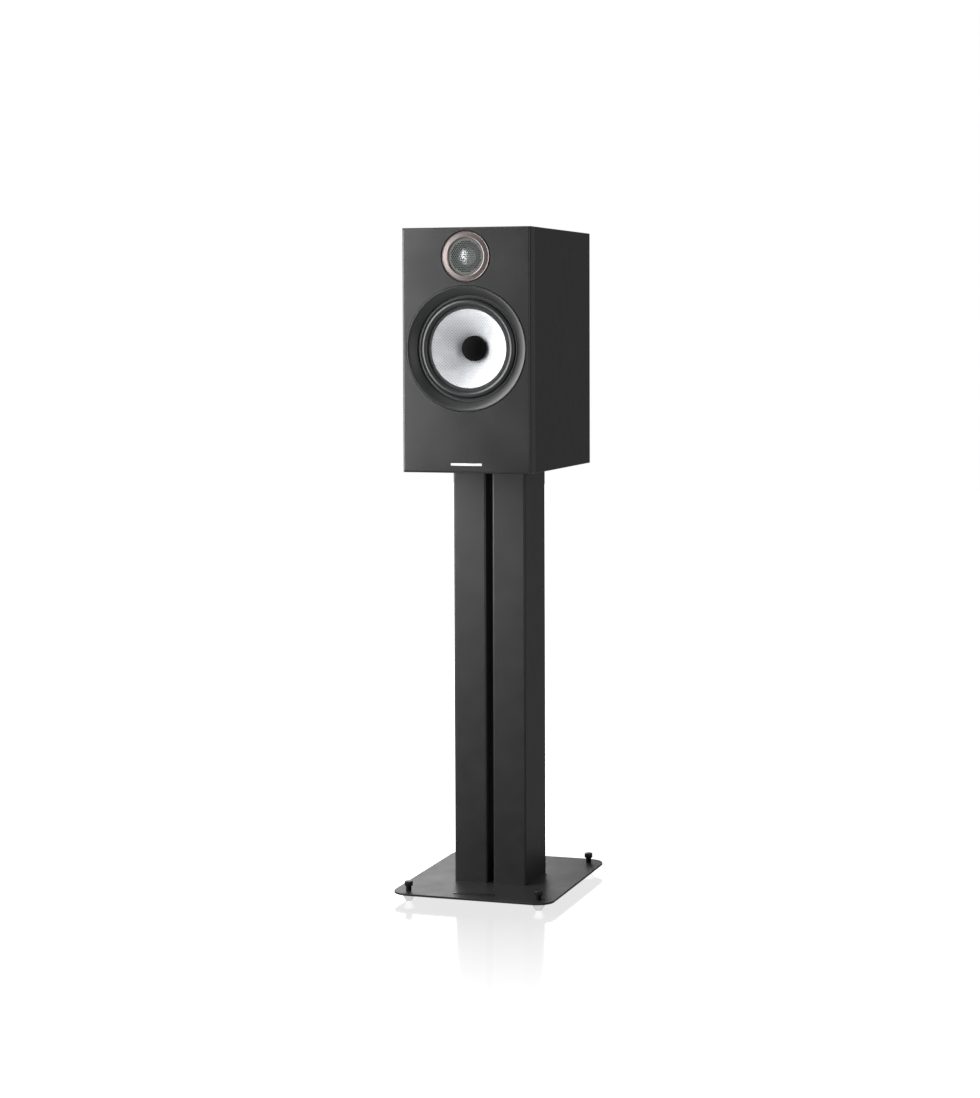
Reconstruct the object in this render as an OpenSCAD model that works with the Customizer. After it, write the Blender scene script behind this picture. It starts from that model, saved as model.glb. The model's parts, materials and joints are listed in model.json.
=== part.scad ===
// Two-way bookshelf speaker on a twin-column floor stand.
// Frame: +Z up, the drivers face -Y, the origin is on the floor under the middle of the whole object.
// Profiles of turned parts are lists of [radius, depth], and depth grows into the cabinet.

/* [Cabinet] */
// Cabinet width
cabinet_w = 190; // [186:1:260]
// Cabinet height
cabinet_h = 345; // [285:1:450]
// Cabinet depth, without the terminals
cabinet_d = 300; // [250:1:400]
// Thickness of the side, top, bottom and back boards
board_t = 18; // [15:0.5:19]
// Thickness of the front baffle
baffle_t = 22; // [20:0.5:30]
// Rounding of the cabinet's front edges
front_edge_r = 3; // [1:0.5:5]
// Rounding of the cabinet's other edges
side_edge_r = 1.5; // [0.5:0.5:3]
// Thickness of the brace behind the woofer
brace_t = 14; // [10:1:18]
// Distance from the baffle's face to the brace
brace_depth = 120; // [105:1:130]
// Width of the rails around the brace's windows
brace_rail = 20; // [14:1:26]
// Thickness of the damping foam on each side wall
foam_t = 22; // [10:1:26]
// Width of the blank badge on the baffle
badge_w = 46; // [30:1:60]
// Height of the blank badge on the baffle
badge_h = 3.4; // [2:0.2:8]
// Height of the badge above the cabinet's bottom edge
badge_rise = 10.5; // [8:0.5:20]

/* [Woofer] */
// Distance between the tweeter's centre and the woofer's
driver_spacing = 129; // [127:1:140]
// Outer radius of the woofer's trim ring
woofer_ring_r = 88.3; // [86:0.1:90]
// Inner radius of the woofer's trim ring
woofer_mouth_r = 75.3; // [74.5:0.1:76]
// Outer radius of the surround's half roll
roll_outer_r = 70.2; // [69.5:0.1:70.5]
// Inner radius of the surround's half roll
roll_inner_r = 60.2; // [59.5:0.1:61]
// Radius of the visible edge of the cone
cone_edge_r = 55.6; // [54:0.1:56]
// Depth of the visible edge of the cone
cone_edge_depth = 13; // [12.5:0.1:14]
// Radius at which the cone ends around the plug
cone_neck_r = 18.5; // [18.3:0.1:20]
// Depth of the cone's neck
cone_neck_depth = 39.5; // [36:0.5:41]
// Radius of the ball-shaped plug in the cone
plug_r = 18.2; // [15:0.1:18.2]
// Outer radius of the voice-coil former
former_r = 16.5; // [14:0.1:16.5]
// Radius of the woofer's ring magnet
magnet_r = 52; // [42:1:62]
// Thickness of the woofer's ring magnet
magnet_t = 16; // [12:0.5:18]

/* [Tweeter] */
// Distance from the cabinet's top to the tweeter's centre
tweeter_drop = 41; // [40:0.5:48]
// Outer radius of the soft ring around the tweeter
decoupler_r = 36.8; // [36.4:0.1:38]
// Outer radius of the metal trim ring
tweeter_ring_r = 35.1; // [34:0.1:35.4]
// Inner radius of the metal trim ring
tweeter_mouth_r = 25.8; // [25:0.1:27]
// Radius of the dome
dome_r = 12.8; // [12:0.1:12.8]
// Height of the dome
dome_h = 4.2; // [3:0.1:4.6]
// Distance between the mesh's holes
mesh_pitch = 3; // [2.5:0.1:5]
// Width of each mesh hole across its flats
mesh_hole = 2.1; // [1.5:0.1:2.4]
// Length of the closed tube behind the tweeter
tweeter_tube_l = 88; // [60:1:95]

/* [Port and terminals] */
// Radius of the port's straight bore
port_r = 25; // [20:0.5:26]
// Length of the port
port_l = 120; // [80:1:124]
// Distance from the cabinet's top to the port's centre
port_drop = 75; // [70:1:90]
// Distance from the cabinet's bottom to the terminals' centre
terminal_rise = 75; // [66:1:85]
// Width of the terminal panel
terminal_panel_w = 90; // [76:1:110]
// Height of the terminal panel
terminal_panel_h = 60; // [50:1:70]
// Distance between the two binding posts
post_spacing = 30; // [22:1:36]
// Radius of the binding post's stud
post_r = 4; // [3.5:0.1:4.5]
// Radius of the bore that takes a banana plug
banana_r = 2; // [1.95:0.05:2.2]
// Depth of the bore that takes a banana plug
banana_depth = 17; // [12:0.5:17.5]
// Radius of the binding post's knob
knob_r = 7.5; // [6.5:0.1:9]
// Length of the binding post's knob
knob_l = 16; // [14:0.5:20]

/* [Stand] */
// Height of the cabinet's underside above the floor
stand_h = 620; // [500:1:760]
// Width of each column
column_w = 50; // [40:1:52]
// Depth of each column
column_d = 100; // [80:1:120]
// Wall of each column
column_wall = 2; // [1.5:0.5:4]
// Rounding of the columns' long edges
column_edge_r = 3; // [2.5:0.5:6]
// Cable gap between the two columns
column_gap = 9.2; // [8:0.2:14]
// Width of the base plate
base_w = 240; // [200:1:320]
// Depth of the base plate
base_d = 300; // [250:1:380]
// Thickness of the base plate
base_t = 3; // [3:0.5:6]
// Corner radius of the base plate
base_corner_r = 26; // [10:1:40]
// Thickness of the plate under the cabinet
top_plate_t = 3; // [3:0.5:6]
// Width of the plate under the cabinet
top_plate_w = 150; // [146:1:170]
// Depth of the plate under the cabinet
top_plate_d = 200; // [180:1:220]
// Distance of the levellers from the base plate's edges
leveller_inset = 22; // [20:1:40]
// Height of a leveller's foot
foot_h = 12; // [10:0.5:20]
// Radius of a leveller's foot where it is widest
foot_r = 10; // [8:0.5:14]
// Radius of the foot's flat tip
foot_tip_r = 3.5; // [2:0.5:6]
// Radius of a leveller's threaded stem
stem_r = 4; // [3:0.5:5]
// Radius of a leveller's knurled head
head_r = 6; // [5.5:0.1:9]
// Height of a leveller's knurled head
head_h = 6.8; // [4:0.1:10]
// Travel of a leveller
leveller_travel = 6; // [3:0.5:6]

/* [Hidden] */
// Number of facets on a circle
$fn = 96;
// Clearance of a part that turns or slides on another
running = 0.05;
// Clearance of a part that stands next to a moving one
beside = 0.3;
// Clearance of a bolt in its hole
bolt_clearance = 0.2;
// How far a cutter runs past the surface that it cuts
past = 1;

// How far the trim rings stand out from the baffle, and the badge's thickness
ring_proud = 0.5;
badge_t = 0.4;
// Radii of the corners of small plates and of the larger ones
small_corner_r = 0.7;
panel_corner_r = 6;
top_corner_r = 8;
// How far the side foam stays from the brace, the back and the cabinet's top and bottom
foam_gap = 4;
foam_margin = 8;
// The brace's windows are no wider than this
window_max_w = 110;

// Terminals: panel, collars round the studs, washers, play under the knobs, studs and their nuts
panel_t = 3;
collar_t = 2;
collar_r = 9.5;
washer_t = 1.2;
knob_gap = 0.1;
stud_proud = 0.5;
stud_inside = 10;
nut_r = 6.5;
nut_t = 4;
// Flutes round a knob: number, radius, how far their centres lie outside it, plain length at its base
flutes = 12;
flute_r = 1.1;
flute_out = 0.4;
flute_stop = 3;
// How much smaller than the panel its cut-out is, and the cut-out's corner radius
cutout_less_w = 28;
cutout_less_h = 22;
cutout_corner_r = 4;
// Screws at the panel's corners: insets, head and thread
panel_screw_x = 7;
panel_screw_y = 6;
panel_head_r = 3;
panel_head_t = 1.6;
panel_thread_r = 1.6;
panel_screw_l = 15;

// Depths behind the back face are negative in front of it, as the terminals are
post_base = panel_t + collar_t;
knob_base = post_base + washer_t + knob_gap;
terminal_reach = knob_base + knob_l + stud_proud;

front_reach = max(cabinet_d / 2 + ring_proud, base_d / 2);
rear_reach = max(cabinet_d / 2 + terminal_reach, base_d / 2);
mid_y = (front_reach - rear_reach) / 2;
front_y = mid_y - cabinet_d / 2;
back_y = mid_y + cabinet_d / 2;

cabinet_top_z = stand_h + cabinet_h;
tweeter_z = cabinet_top_z - tweeter_drop;
woofer_z = tweeter_z - driver_spacing;
port_z = cabinet_top_z - port_drop;
terminal_z = stand_h + terminal_rise;
inner_w = cabinet_w - 2 * board_t;
inner_h = cabinet_h - 2 * board_t;
inner_z = stand_h + board_t;

// Woofer trim ring: gap round it, depth of its seat, width of its lip
ring_gap = 0.7;
ring_seat = 6;
ring_lip_w = 1.3;
// Woofer chassis: flange, gasket behind it, wall of the basket, windows between its arms
flange_r = 84.5;
flange_face = 12.2;
flange_t = 3;
gasket_t = 1;
gasket_w = 7;
basket_wall = 2.6;
window_w = 36;
window_l = 24;
window_depth = 21;
basket_back_t = 3;
basket_hole_r = 30;
// Woofer surround: thickness, middle and radius of the roll, bead outside it, outer edge
surround_t = 0.8;
roll_mid_r = (roll_outer_r + roll_inner_r) / 2;
roll_r = (roll_outer_r - roll_inner_r) / 2;
bead_r = 0.9;
surround_edge_r = 77.4;
woofer_hole_r = 76.5;
// Cone: thickness square to it and along the axis, glued rim, tube at its neck
cone_t = 1;
cone_back_t = 1.3;
rim_r = roll_inner_r - surround_t;
neck_l = 5.5;
// The plug's ball sits this far in front of the neck, and its stem this far behind
ball_lead = 1.4;
plug_stem_l = 9;
// Voice coil: former's wall, winding's height and length
former_t = 0.5;
winding_t = 0.8;
winding_l = 12;
// Spider: depth, thickness, outer radius, height and spacing of its waves, ledge under it
spider_depth = 51;
spider_t = 0.8;
spider_r = 50.5;
spider_wave = 1.4;
spider_pitch = 6;
ledge_r = 47;
basket_r = 57;
// Motor: plates, magnet's bore, gap beside the coil, vent through the pole
plate_depth = 62;
plate_t = 6;
plate_r = magnet_r - 4;
magnet_bore_r = 24;
coil_gap = 0.7;
pole_vent_r = 5;
// Countersunk screws through the woofer's flange
screw_circle_r = 81;
screw_r = 1.8;
screw_head_r = 3.2;
screw_l = 8;
csk_l = 1.8;
// Flexible leads: radius, half their spacing, where they leave the cone
lead_r = 0.75;
lead_x = 7;
lead_start_r = 30;

// Tweeter, in depths from the baffle's face: soft ring, its seat in the baffle and its inner lip
decoupler_w = decoupler_r - tweeter_ring_r - beside / 2;
tweeter_seat = 11;
tweeter_hole_r = 22;
lip_w = 6;
lip_t = 1.5;
// Metal ring: depth of its back, bevel at its mouth, how far its face lies below its rims
ring_t = 3.2;
ring_bevel = 1.2;
ring_dish = 0.3;
notch_w = 1.6;
// Body: back of its flange, boss through the baffle, throat in front of the dome
body_back = tweeter_seat - lip_t;
boss_back = 16;
boss_r = 21.6;
throat_r = 16.3;
// Mesh: depth, thickness, solid rim, seat and the lip behind it
mesh_depth = 1.4;
mesh_t = 0.6;
mesh_rim = 2.9;
mesh_r = tweeter_mouth_r - 0.1;
mesh_seat = 4.4;
mesh_lip_w = 0.7;
// Dome, its cloth roll and its coil
dome_seat = 8.2;
dome_t = 0.4;
tweeter_roll_r = 14.6;
tweeter_coil_l = 5.6;
// Steel pot behind the dome, pole piece in it, vent through both
pot_bore_r = 13.3;
pot_r = throat_r;
pot_face = 9.4;
pot_floor = 18;
pot_back = 22;
tweeter_vent_r = 3;
pole_face = 10.2;
pole_t = 3;
// Closed tube behind the pot
tube_wall = 1.4;
tube_tail_r = 6;

// Port: wall, flares at its ends, lip on the back panel
port_wall = 2.5;
mouth_flare = 11;
inner_flare = 8;
port_lip_r = 44;
port_lip_t = 1.5;
port_proud = 1;

// Stand: heights, the columns' closed ends, bolts, fixings into the cabinet
base_z = foot_h;
base_top = base_z + base_t;
column_l = stand_h - top_plate_t - base_top;
column_x = (column_gap + column_w) / 2;
column_end_t = 5;
column_bolt_y = 30;
bolt_r = 3;
bolt_head_r = 5;
bolt_head_t = 4;
csk_r = 5.6;
csk_t = 2.6;
fixing_x = 62;
fixing_y = 52;
fixing_head_t = 2.5;
fixing_l = 14;
// Blank badge on the base plate
stand_badge_w = 60;
stand_badge_d = 8;
stand_badge_t = 1;
stand_badge_inset = 26;
// Levellers: room under the head for its travel, chamfer and knurls of the head, socket in the foot
head_rise = leveller_travel + 1;
head_chamfer = 0.6;
knurls = 16;
knurl_r = 0.8;
knurl_out = 0.3;
foot_socket = 5.8;
foot_gap = 0.3;
foot_rim = 2.2;
leveller_places = [for (sy = [-1, 1], sx = [-1, 1])
    [sx * (base_w / 2 - leveller_inset), mid_y + sy * (base_d / 2 - leveller_inset)]];

// Crossover board, in front of the brace and under the woofer's magnet
crossover_w = 110;
crossover_l = 80;
crossover_depth = 32;
standoff_h = 6;
crossover_t = 1.6;
crossover_y = front_y + crossover_depth + crossover_l / 2;
crossover_top = inner_z + standoff_h + crossover_t;
standoff_r = 3;
standoff_inset = 6;
wire_r = 1.2;
// A wire's joints are a little fatter than its stretches
joint_swell = 1.04;
// Wires: the tweeter's pair runs down at the riser and out to the board; the woofer's stand apart
riser_x = 66;
riser_depth = 82;
riser_foot_x = 50;
riser_foot_z = 14;
feed_x = 9;

// ---- Shared shapes ----

// Points of an arc around [cr, cd], from angle a0 to a1
function arc(cr, cd, r, a0, a1, steps = 12) =
    [for (i = [0 : steps]) let (a = a0 + (a1 - a0) * i / steps) [cr + r * cos(a), cd + r * sin(a)]];

// Depth of the cone's front surface at a radius: it steepens towards the neck
function cone_depth(r) = cone_edge_depth + (cone_neck_depth - cone_edge_depth)
    * pow((cone_edge_r - r) / (cone_edge_r - cone_neck_r), 1.25);

// A profile turned round the axis into a solid
module turned(profile) {
    rotate_extrude() polygon(profile);
}

// A ring between two radii, from depth d0 to d1
module ring(r_in, r_out, d0, d1) {
    turned([[r_in, d0], [r_out, d0], [r_out, d1], [r_in, d1]]);
}

// Children drawn in a driver's frame: origin on the baffle's face, +Z into the cabinet
module in_baffle(z) {
    translate([0, front_y, z]) rotate([-90, 0, 0]) children();
}

// Children drawn in the back's frame: origin on the back face, +Z into the cabinet, +Y up
module in_back(x, z) {
    translate([x, back_y, z]) rotate([90, 0, 0]) children();
}

module rounded_rect(w, d, r) {
    square([w - 2 * r, d], center = true);
    square([w, d - 2 * r], center = true);
    for (sx = [-1, 1], sy = [-1, 1])
        translate([sx * (w / 2 - r), sy * (d / 2 - r)]) circle(r);
}

// A rectangle from y = 0 to d, with one rounding at its front corners and another at its back ones
module end_rounded(w, d, r_front, r_back) {
    inset = max(r_front, r_back);
    translate([-w / 2 + inset, 0]) square([w - 2 * inset, d]);
    translate([-w / 2, r_front]) square([w, d - r_front - r_back]);
    for (s = [-1, 1]) {
        translate([s * (w / 2 - r_front), r_front]) circle(r_front);
        translate([s * (w / 2 - r_back), d - r_back]) circle(r_back);
    }
}

// The whole cabinet as one block with rounded edges, cut into boards below
module cabinet_block() {
    intersection() {
        translate([0, back_y, stand_h + cabinet_h / 2]) rotate([90, 0, 0])
            linear_extrude(cabinet_d) rounded_rect(cabinet_w, cabinet_h, side_edge_r);
        translate([0, front_y, stand_h])
            linear_extrude(cabinet_h) end_rounded(cabinet_w, cabinet_d, front_edge_r, side_edge_r);
        translate([cabinet_w / 2, front_y, stand_h + cabinet_h / 2]) rotate([0, -90, 0])
            linear_extrude(cabinet_w) end_rounded(cabinet_h, cabinet_d, front_edge_r, side_edge_r);
    }
}

// A box of the cabinet between two depths, at the height z0
module slab(x0, w, depth0, depth1, z0, h) {
    translate([x0, front_y + depth0, z0]) cube([w, depth1 - depth0, h]);
}

// A wire of straight stretches with ball joints
module wire(points, r) {
    for (i = [0 : len(points) - 2]) {
        run = points[i + 1] - points[i];
        flat = norm([run[0], run[1]]);
        translate(points[i]) rotate([0, atan2(flat, run[2]), atan2(run[1], run[0])])
            cylinder(r = r, h = norm(run), $fn = 24);
        if (i > 0)
            translate(points[i]) sphere(r * joint_swell, $fn = 24);
    }
}

// ---- Cabinet ----

module cabinet_side(s) {
    x0 = s > 0 ? inner_w / 2 : -cabinet_w / 2;
    color("#2b2b2c") intersection() {
        cabinet_block();
        slab(x0, board_t, baffle_t, cabinet_d, stand_h, cabinet_h);
    }
}

module cabinet_top() {
    color("#2b2b2c") intersection() {
        cabinet_block();
        slab(-inner_w / 2, inner_w, baffle_t, cabinet_d, cabinet_top_z - board_t, board_t);
    }
}

module cabinet_bottom() {
    color("#2b2b2c") difference() {
        intersection() {
            cabinet_block();
            slab(-inner_w / 2, inner_w, baffle_t, cabinet_d, stand_h, board_t);
        }
        for (sx = [-1, 1], sy = [-1, 1])
            translate([sx * fixing_x, mid_y + sy * fixing_y, stand_h - past])
                cylinder(r = bolt_r, h = fixing_l + past);
    }
}

module front_baffle() {
    color("#3a3a3b") difference() {
        intersection() {
            cabinet_block();
            slab(-cabinet_w / 2, cabinet_w, 0, baffle_t, stand_h, cabinet_h);
        }
        in_baffle(woofer_z) {
            ring(0, woofer_ring_r + ring_gap, -past, ring_seat);
            ring(0, flange_r + bolt_clearance, -past, flange_face + flange_t + gasket_t);
            ring(0, woofer_hole_r, -past, baffle_t + past);
            woofer_screws();
        }
        in_baffle(tweeter_z) {
            ring(0, decoupler_r, -past, tweeter_seat);
            ring(0, tweeter_hole_r, -past, baffle_t + past);
        }
    }
}

module rear_panel() {
    color("#2b2b2c") difference() {
        intersection() {
            cabinet_block();
            slab(-inner_w / 2, inner_w, cabinet_d - board_t, cabinet_d, inner_z, inner_h);
        }
        in_back(0, port_z) {
            ring(0, port_lip_r, -past, port_lip_t);
            ring(0, port_r + mouth_flare + past, -past, board_t + past);
        }
        in_back(0, terminal_z) {
            translate([0, 0, -past]) linear_extrude(board_t + 2 * past)
                rounded_rect(terminal_panel_w - cutout_less_w, terminal_panel_h - cutout_less_h,
                    cutout_corner_r);
            terminal_screws();
        }
    }
}

module window_brace() {
    open_h = (inner_h - 4 * brace_rail) / 3;
    open_w = min(inner_w - 2 * brace_rail, window_max_w);
    color("#b79468") difference() {
        slab(-inner_w / 2, inner_w, brace_depth, brace_depth + brace_t, inner_z, inner_h);
        for (i = [0 : 2])
            slab(-open_w / 2, open_w, brace_depth - past, brace_depth + brace_t + past,
                inner_z + brace_rail + i * (open_h + brace_rail), open_h);
    }
}

module damping_foam() {
    pad_front = brace_depth + brace_t + foam_gap;
    pad_back = cabinet_d - board_t - foam_gap;
    color("#6d7075") for (s = [-1, 1])
        slab(s > 0 ? inner_w / 2 - foam_t : -inner_w / 2, foam_t, pad_front, pad_back,
            inner_z + foam_margin, inner_h - 2 * foam_margin);
}

module front_badge() {
    color("#e6e6e4") translate([0, front_y, stand_h + badge_rise + badge_h / 2]) rotate([90, 0, 0])
        linear_extrude(badge_t) rounded_rect(badge_w, badge_h, small_corner_r);
}

// ---- Woofer ----

module woofer_trim_ring() {
    flare_in = woofer_mouth_r + 0.4;
    lip = woofer_ring_r - ring_lip_w;
    color("#2a2a2b") in_baffle(woofer_z) turned(concat(
        [for (i = [0 : 10]) let (t = i / 10)
            [lip - 0.6 - (lip - 0.6 - flare_in) * t, 0.3 + 8.4 * pow(t, 1.3)]],
        [[woofer_mouth_r, 9.2], [woofer_mouth_r, flange_face - surround_t],
        [surround_edge_r + 0.1, flange_face - surround_t], [surround_edge_r + 0.1, flange_face],
        [flange_r, flange_face], [flange_r, ring_seat], [woofer_ring_r, ring_seat]],
        arc(woofer_ring_r - 0.8, 0.8 - ring_proud, 0.8, 0, -90, 6),
        [[lip, -ring_proud]]));
}

// Six countersunk screws on a circle, also used as the cutter for their holes
module woofer_screws() {
    for (i = [0 : 5])
        rotate([0, 0, 30 + i * 60]) translate([screw_circle_r, 0, flange_face]) {
            cylinder(r1 = screw_head_r, r2 = screw_r, h = csk_l, $fn = 32);
            cylinder(r = screw_r, h = screw_l, $fn = 32);
        }
}

module woofer_chassis() {
    inner = roll_outer_r + 0.5;
    seat_r = basket_r - basket_wall - 0.8;
    skirt_r = woofer_hole_r - beside;
    color("#4c4e50") in_baffle(woofer_z) difference() {
        turned([[inner, flange_face], [flange_r, flange_face], [flange_r, flange_face + flange_t],
            [skirt_r, flange_face + flange_t], [basket_r, spider_depth - 1], [basket_r, plate_depth],
            [basket_hole_r, plate_depth], [basket_hole_r, plate_depth - basket_back_t],
            [basket_r - 4, plate_depth - basket_back_t], [basket_r - 4, spider_depth + 4],
            [ledge_r, spider_depth + 4], [ledge_r, spider_depth + spider_t],
            [seat_r, spider_depth + spider_t], [seat_r, spider_depth - 1],
            [skirt_r - basket_wall - 0.6, flange_face + flange_t], [inner, flange_face + flange_t]]);
        woofer_screws();
        for (i = [0 : 2])
            rotate([0, 0, i * 60]) translate([-flange_r, -window_w / 2, window_depth])
                cube([2 * flange_r, window_w, window_l]);
    }
}

module woofer_gasket() {
    color("#232323") in_baffle(woofer_z) difference() {
        ring(flange_r - gasket_w, flange_r, flange_face + flange_t, flange_face + flange_t + gasket_t);
        woofer_screws();
    }
}

module woofer_surround() {
    flat = flange_face - surround_t;
    edge = cone_edge_depth - surround_t;
    bead_x = roll_outer_r + bead_r + 0.6;
    color("#1d1d1e") in_baffle(woofer_z) turned(concat(
        [[cone_edge_r + 0.3, cone_edge_depth], [cone_edge_r + 0.3, edge]],
        arc(roll_mid_r, edge, roll_r, 180, 360, 20),
        arc(bead_x, flat, bead_r, 180, 360, 6),
        [[surround_edge_r, flat], [surround_edge_r, flange_face], [roll_outer_r + 0.5, flange_face]],
        arc(roll_mid_r, edge, roll_r - surround_t, 360, 180, 20),
        [[rim_r, cone_edge_depth]]));
}

module woofer_cone() {
    steps = 16;
    color("#d9dadb") in_baffle(woofer_z) turned(concat(
        [for (i = [0 : steps]) let (r = cone_edge_r + (cone_neck_r - cone_edge_r) * i / steps)
            [r, cone_depth(r)]],
        [[former_r, cone_neck_depth], [former_r, cone_neck_depth + neck_l],
        [former_r + cone_t, cone_neck_depth + neck_l]],
        [for (i = [steps : -1 : 0]) let (r = cone_edge_r + (cone_neck_r - cone_edge_r) * i / steps)
            [r, cone_depth(r) + cone_back_t]],
        [[rim_r - 0.3, cone_edge_depth + cone_t], [rim_r - 0.3, cone_edge_depth]]));
}

module woofer_plug() {
    ball_depth = cone_neck_depth - ball_lead;
    stem_r_in = former_r - former_t - 0.1;
    color("#0b0b0c") in_baffle(woofer_z) turned(concat(
        [[0, ball_depth - plug_r]],
        arc(0, ball_depth, plug_r, -84, 0, 14),
        [[plug_r, cone_neck_depth], [stem_r_in, cone_neck_depth],
        [stem_r_in, cone_neck_depth + plug_stem_l], [0, cone_neck_depth + plug_stem_l]]));
}

module woofer_voice_coil() {
    winding_mid = plate_depth + plate_t / 2;
    former_in = former_r - former_t;
    winding_r = former_r + winding_t;
    color("#b0672c") in_baffle(woofer_z) turned([[former_in, cone_neck_depth],
        [former_r, cone_neck_depth], [former_r, winding_mid - winding_l / 2],
        [winding_r, winding_mid - winding_l / 2], [winding_r, winding_mid + winding_l / 2],
        [former_in, winding_mid + winding_l / 2]]);
}

module woofer_spider() {
    wave_in = former_r + 2;
    wave_out = spider_r - 4;
    waves = floor((wave_out - wave_in) / spider_pitch);
    span = waves * spider_pitch;
    points = 12 * waves;
    color("#c99a3a") in_baffle(woofer_z) turned(concat(
        [[former_r, spider_depth]],
        [for (i = [0 : points]) [wave_in + span * i / points,
            spider_depth + spider_wave * sin(360 * waves * i / points)]],
        [[spider_r, spider_depth], [spider_r, spider_depth + spider_t]],
        [for (i = [points : -1 : 0]) [wave_in + span * i / points,
            spider_depth + spider_t + spider_wave * sin(360 * waves * i / points)]],
        [[former_r, spider_depth + spider_t]]));
}

module woofer_top_plate() {
    color("#8b8d90") in_baffle(woofer_z)
        ring(former_r + winding_t + coil_gap, plate_r, plate_depth, plate_depth + plate_t);
}

module woofer_magnet() {
    front = plate_depth + plate_t;
    color("#35363a") in_baffle(woofer_z) ring(magnet_bore_r, magnet_r, front, front + magnet_t);
}

module woofer_yoke() {
    back = plate_depth + plate_t + magnet_t;
    pole_r = former_r - former_t - coil_gap;
    color("#8b8d90") in_baffle(woofer_z) turned([[pole_vent_r, plate_depth], [pole_r, plate_depth],
        [pole_r, back], [plate_r, back], [plate_r, back + plate_t], [pole_vent_r, back + plate_t]]);
}

module woofer_leads() {
    start = cone_depth(lead_start_r - 2) + cone_back_t;
    end_r = spider_r + 1.4;
    color("#c8a878") in_baffle(woofer_z) for (s = [-1, 1])
        wire([[s * lead_x, lead_start_r, start], [s * lead_x, lead_start_r + 2, start + 7],
            [s * lead_x, lead_start_r + 12, start + 8.5], [s * lead_x, end_r, start + 6],
            [s * lead_x, end_r, spider_depth + spider_t]], lead_r);
}

// ---- Tweeter ----

module tweeter_trim_ring() {
    bevel_r = tweeter_mouth_r + ring_bevel;
    face = ring_dish - ring_proud;
    color("#b9aeac") in_baffle(tweeter_z) difference() {
        turned([[tweeter_mouth_r, ring_t], [tweeter_mouth_r, ring_bevel - ring_proud],
            [bevel_r, 0.1 - ring_proud], [bevel_r + 0.5, face], [tweeter_ring_r - 1.2, face],
            [tweeter_ring_r - 0.9, -ring_proud], [tweeter_ring_r - 0.4, -ring_proud],
            [tweeter_ring_r, 0], [tweeter_ring_r, ring_t]]);
        translate([-notch_w / 2, -bevel_r, -past]) cube([notch_w, ring_bevel, ring_t]);
    }
}

module tweeter_decoupling_ring() {
    color("#141414") in_baffle(tweeter_z) turned([[decoupler_r - decoupler_w, 0.9],
        [decoupler_r, 0.9], [decoupler_r, tweeter_seat], [decoupler_r - lip_w, tweeter_seat],
        [decoupler_r - lip_w, body_back], [decoupler_r - decoupler_w, body_back]]);
}

module tweeter_body() {
    seat_in = tweeter_roll_r - 0.2;
    pot_seat_r = pot_r + 0.1;
    color("#1a1a1b") in_baffle(tweeter_z) turned([[mesh_r + 0.1, ring_t], [tweeter_ring_r, ring_t],
        [tweeter_ring_r, body_back], [boss_r, body_back], [boss_r, boss_back], [pot_seat_r, boss_back],
        [pot_seat_r, dome_seat + 1], [seat_in, dome_seat + 1], [seat_in, dome_seat],
        [throat_r, dome_seat], [throat_r, dome_seat - 0.5], [mesh_r - mesh_rim - 0.5, mesh_seat],
        [mesh_r + 0.1, mesh_seat]]);
}

module tweeter_mesh() {
    open_r = mesh_r - mesh_rim - mesh_hole / 2;
    rows = ceil(open_r / (mesh_pitch * sin(60)));
    columns = ceil(open_r / mesh_pitch) + 1;
    color("#19191a") in_baffle(tweeter_z) {
        translate([0, 0, mesh_depth]) linear_extrude(mesh_t) difference() {
            circle(mesh_r);
            for (row = [-rows : rows], column = [-columns : columns]) {
                x = (column + abs(row % 2) / 2) * mesh_pitch;
                y = row * mesh_pitch * sin(60);
                if (norm([x, y]) < open_r)
                    translate([x, y]) rotate(30) circle(mesh_hole / 2 / cos(30), $fn = 6);
            }
        }
        ring(mesh_r - mesh_lip_w, mesh_r, mesh_depth + mesh_t / 2, mesh_seat);
    }
}

module tweeter_dome() {
    ball_r = (dome_r * dome_r + dome_h * dome_h) / (2 * dome_h);
    half = asin(dome_r / ball_r);
    centre = dome_seat - dome_h + ball_r;
    inner_r = ball_r - dome_t;
    inner_half = acos((centre - dome_seat) / inner_r);
    color("#dfe1e3") in_baffle(tweeter_z) turned(concat(
        [[0, centre - ball_r]], arc(0, centre, ball_r, -88, half - 90, 12),
        arc(0, centre, inner_r, inner_half - 90, -88, 12), [[0, centre - inner_r]]));
}

module tweeter_surround() {
    mid = (dome_r + tweeter_roll_r) / 2 + 0.1;
    roll = (tweeter_roll_r - dome_r) / 2 - 0.1;
    color("#202021") in_baffle(tweeter_z) turned(concat(
        [[dome_r, dome_seat]], arc(mid, dome_seat - dome_t, roll, 180, 360, 10),
        [[throat_r, dome_seat - dome_t], [throat_r, dome_seat], [tweeter_roll_r, dome_seat]],
        arc(mid, dome_seat, roll - dome_t, 360, 180, 10)));
}

module tweeter_coil() {
    color("#b0672c") in_baffle(tweeter_z)
        ring(dome_r - 0.6, dome_r - 0.1, dome_seat, dome_seat + tweeter_coil_l);
}

module tweeter_pole_piece() {
    color("#8b8d90") in_baffle(tweeter_z)
        ring(tweeter_vent_r, dome_r - 0.9, pole_face, pole_face + pole_t);
}

module tweeter_magnet() {
    color("#a9abb0") in_baffle(tweeter_z)
        ring(tweeter_vent_r, dome_r - 2.2, pole_face + pole_t, pot_floor);
}

module tweeter_yoke() {
    color("#8b8d90") in_baffle(tweeter_z) turned([[pot_bore_r, pot_face], [pot_r, pot_face],
        [pot_r, pot_back], [tweeter_vent_r, pot_back], [tweeter_vent_r, pot_floor],
        [pot_bore_r, pot_floor]]);
}

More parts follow.
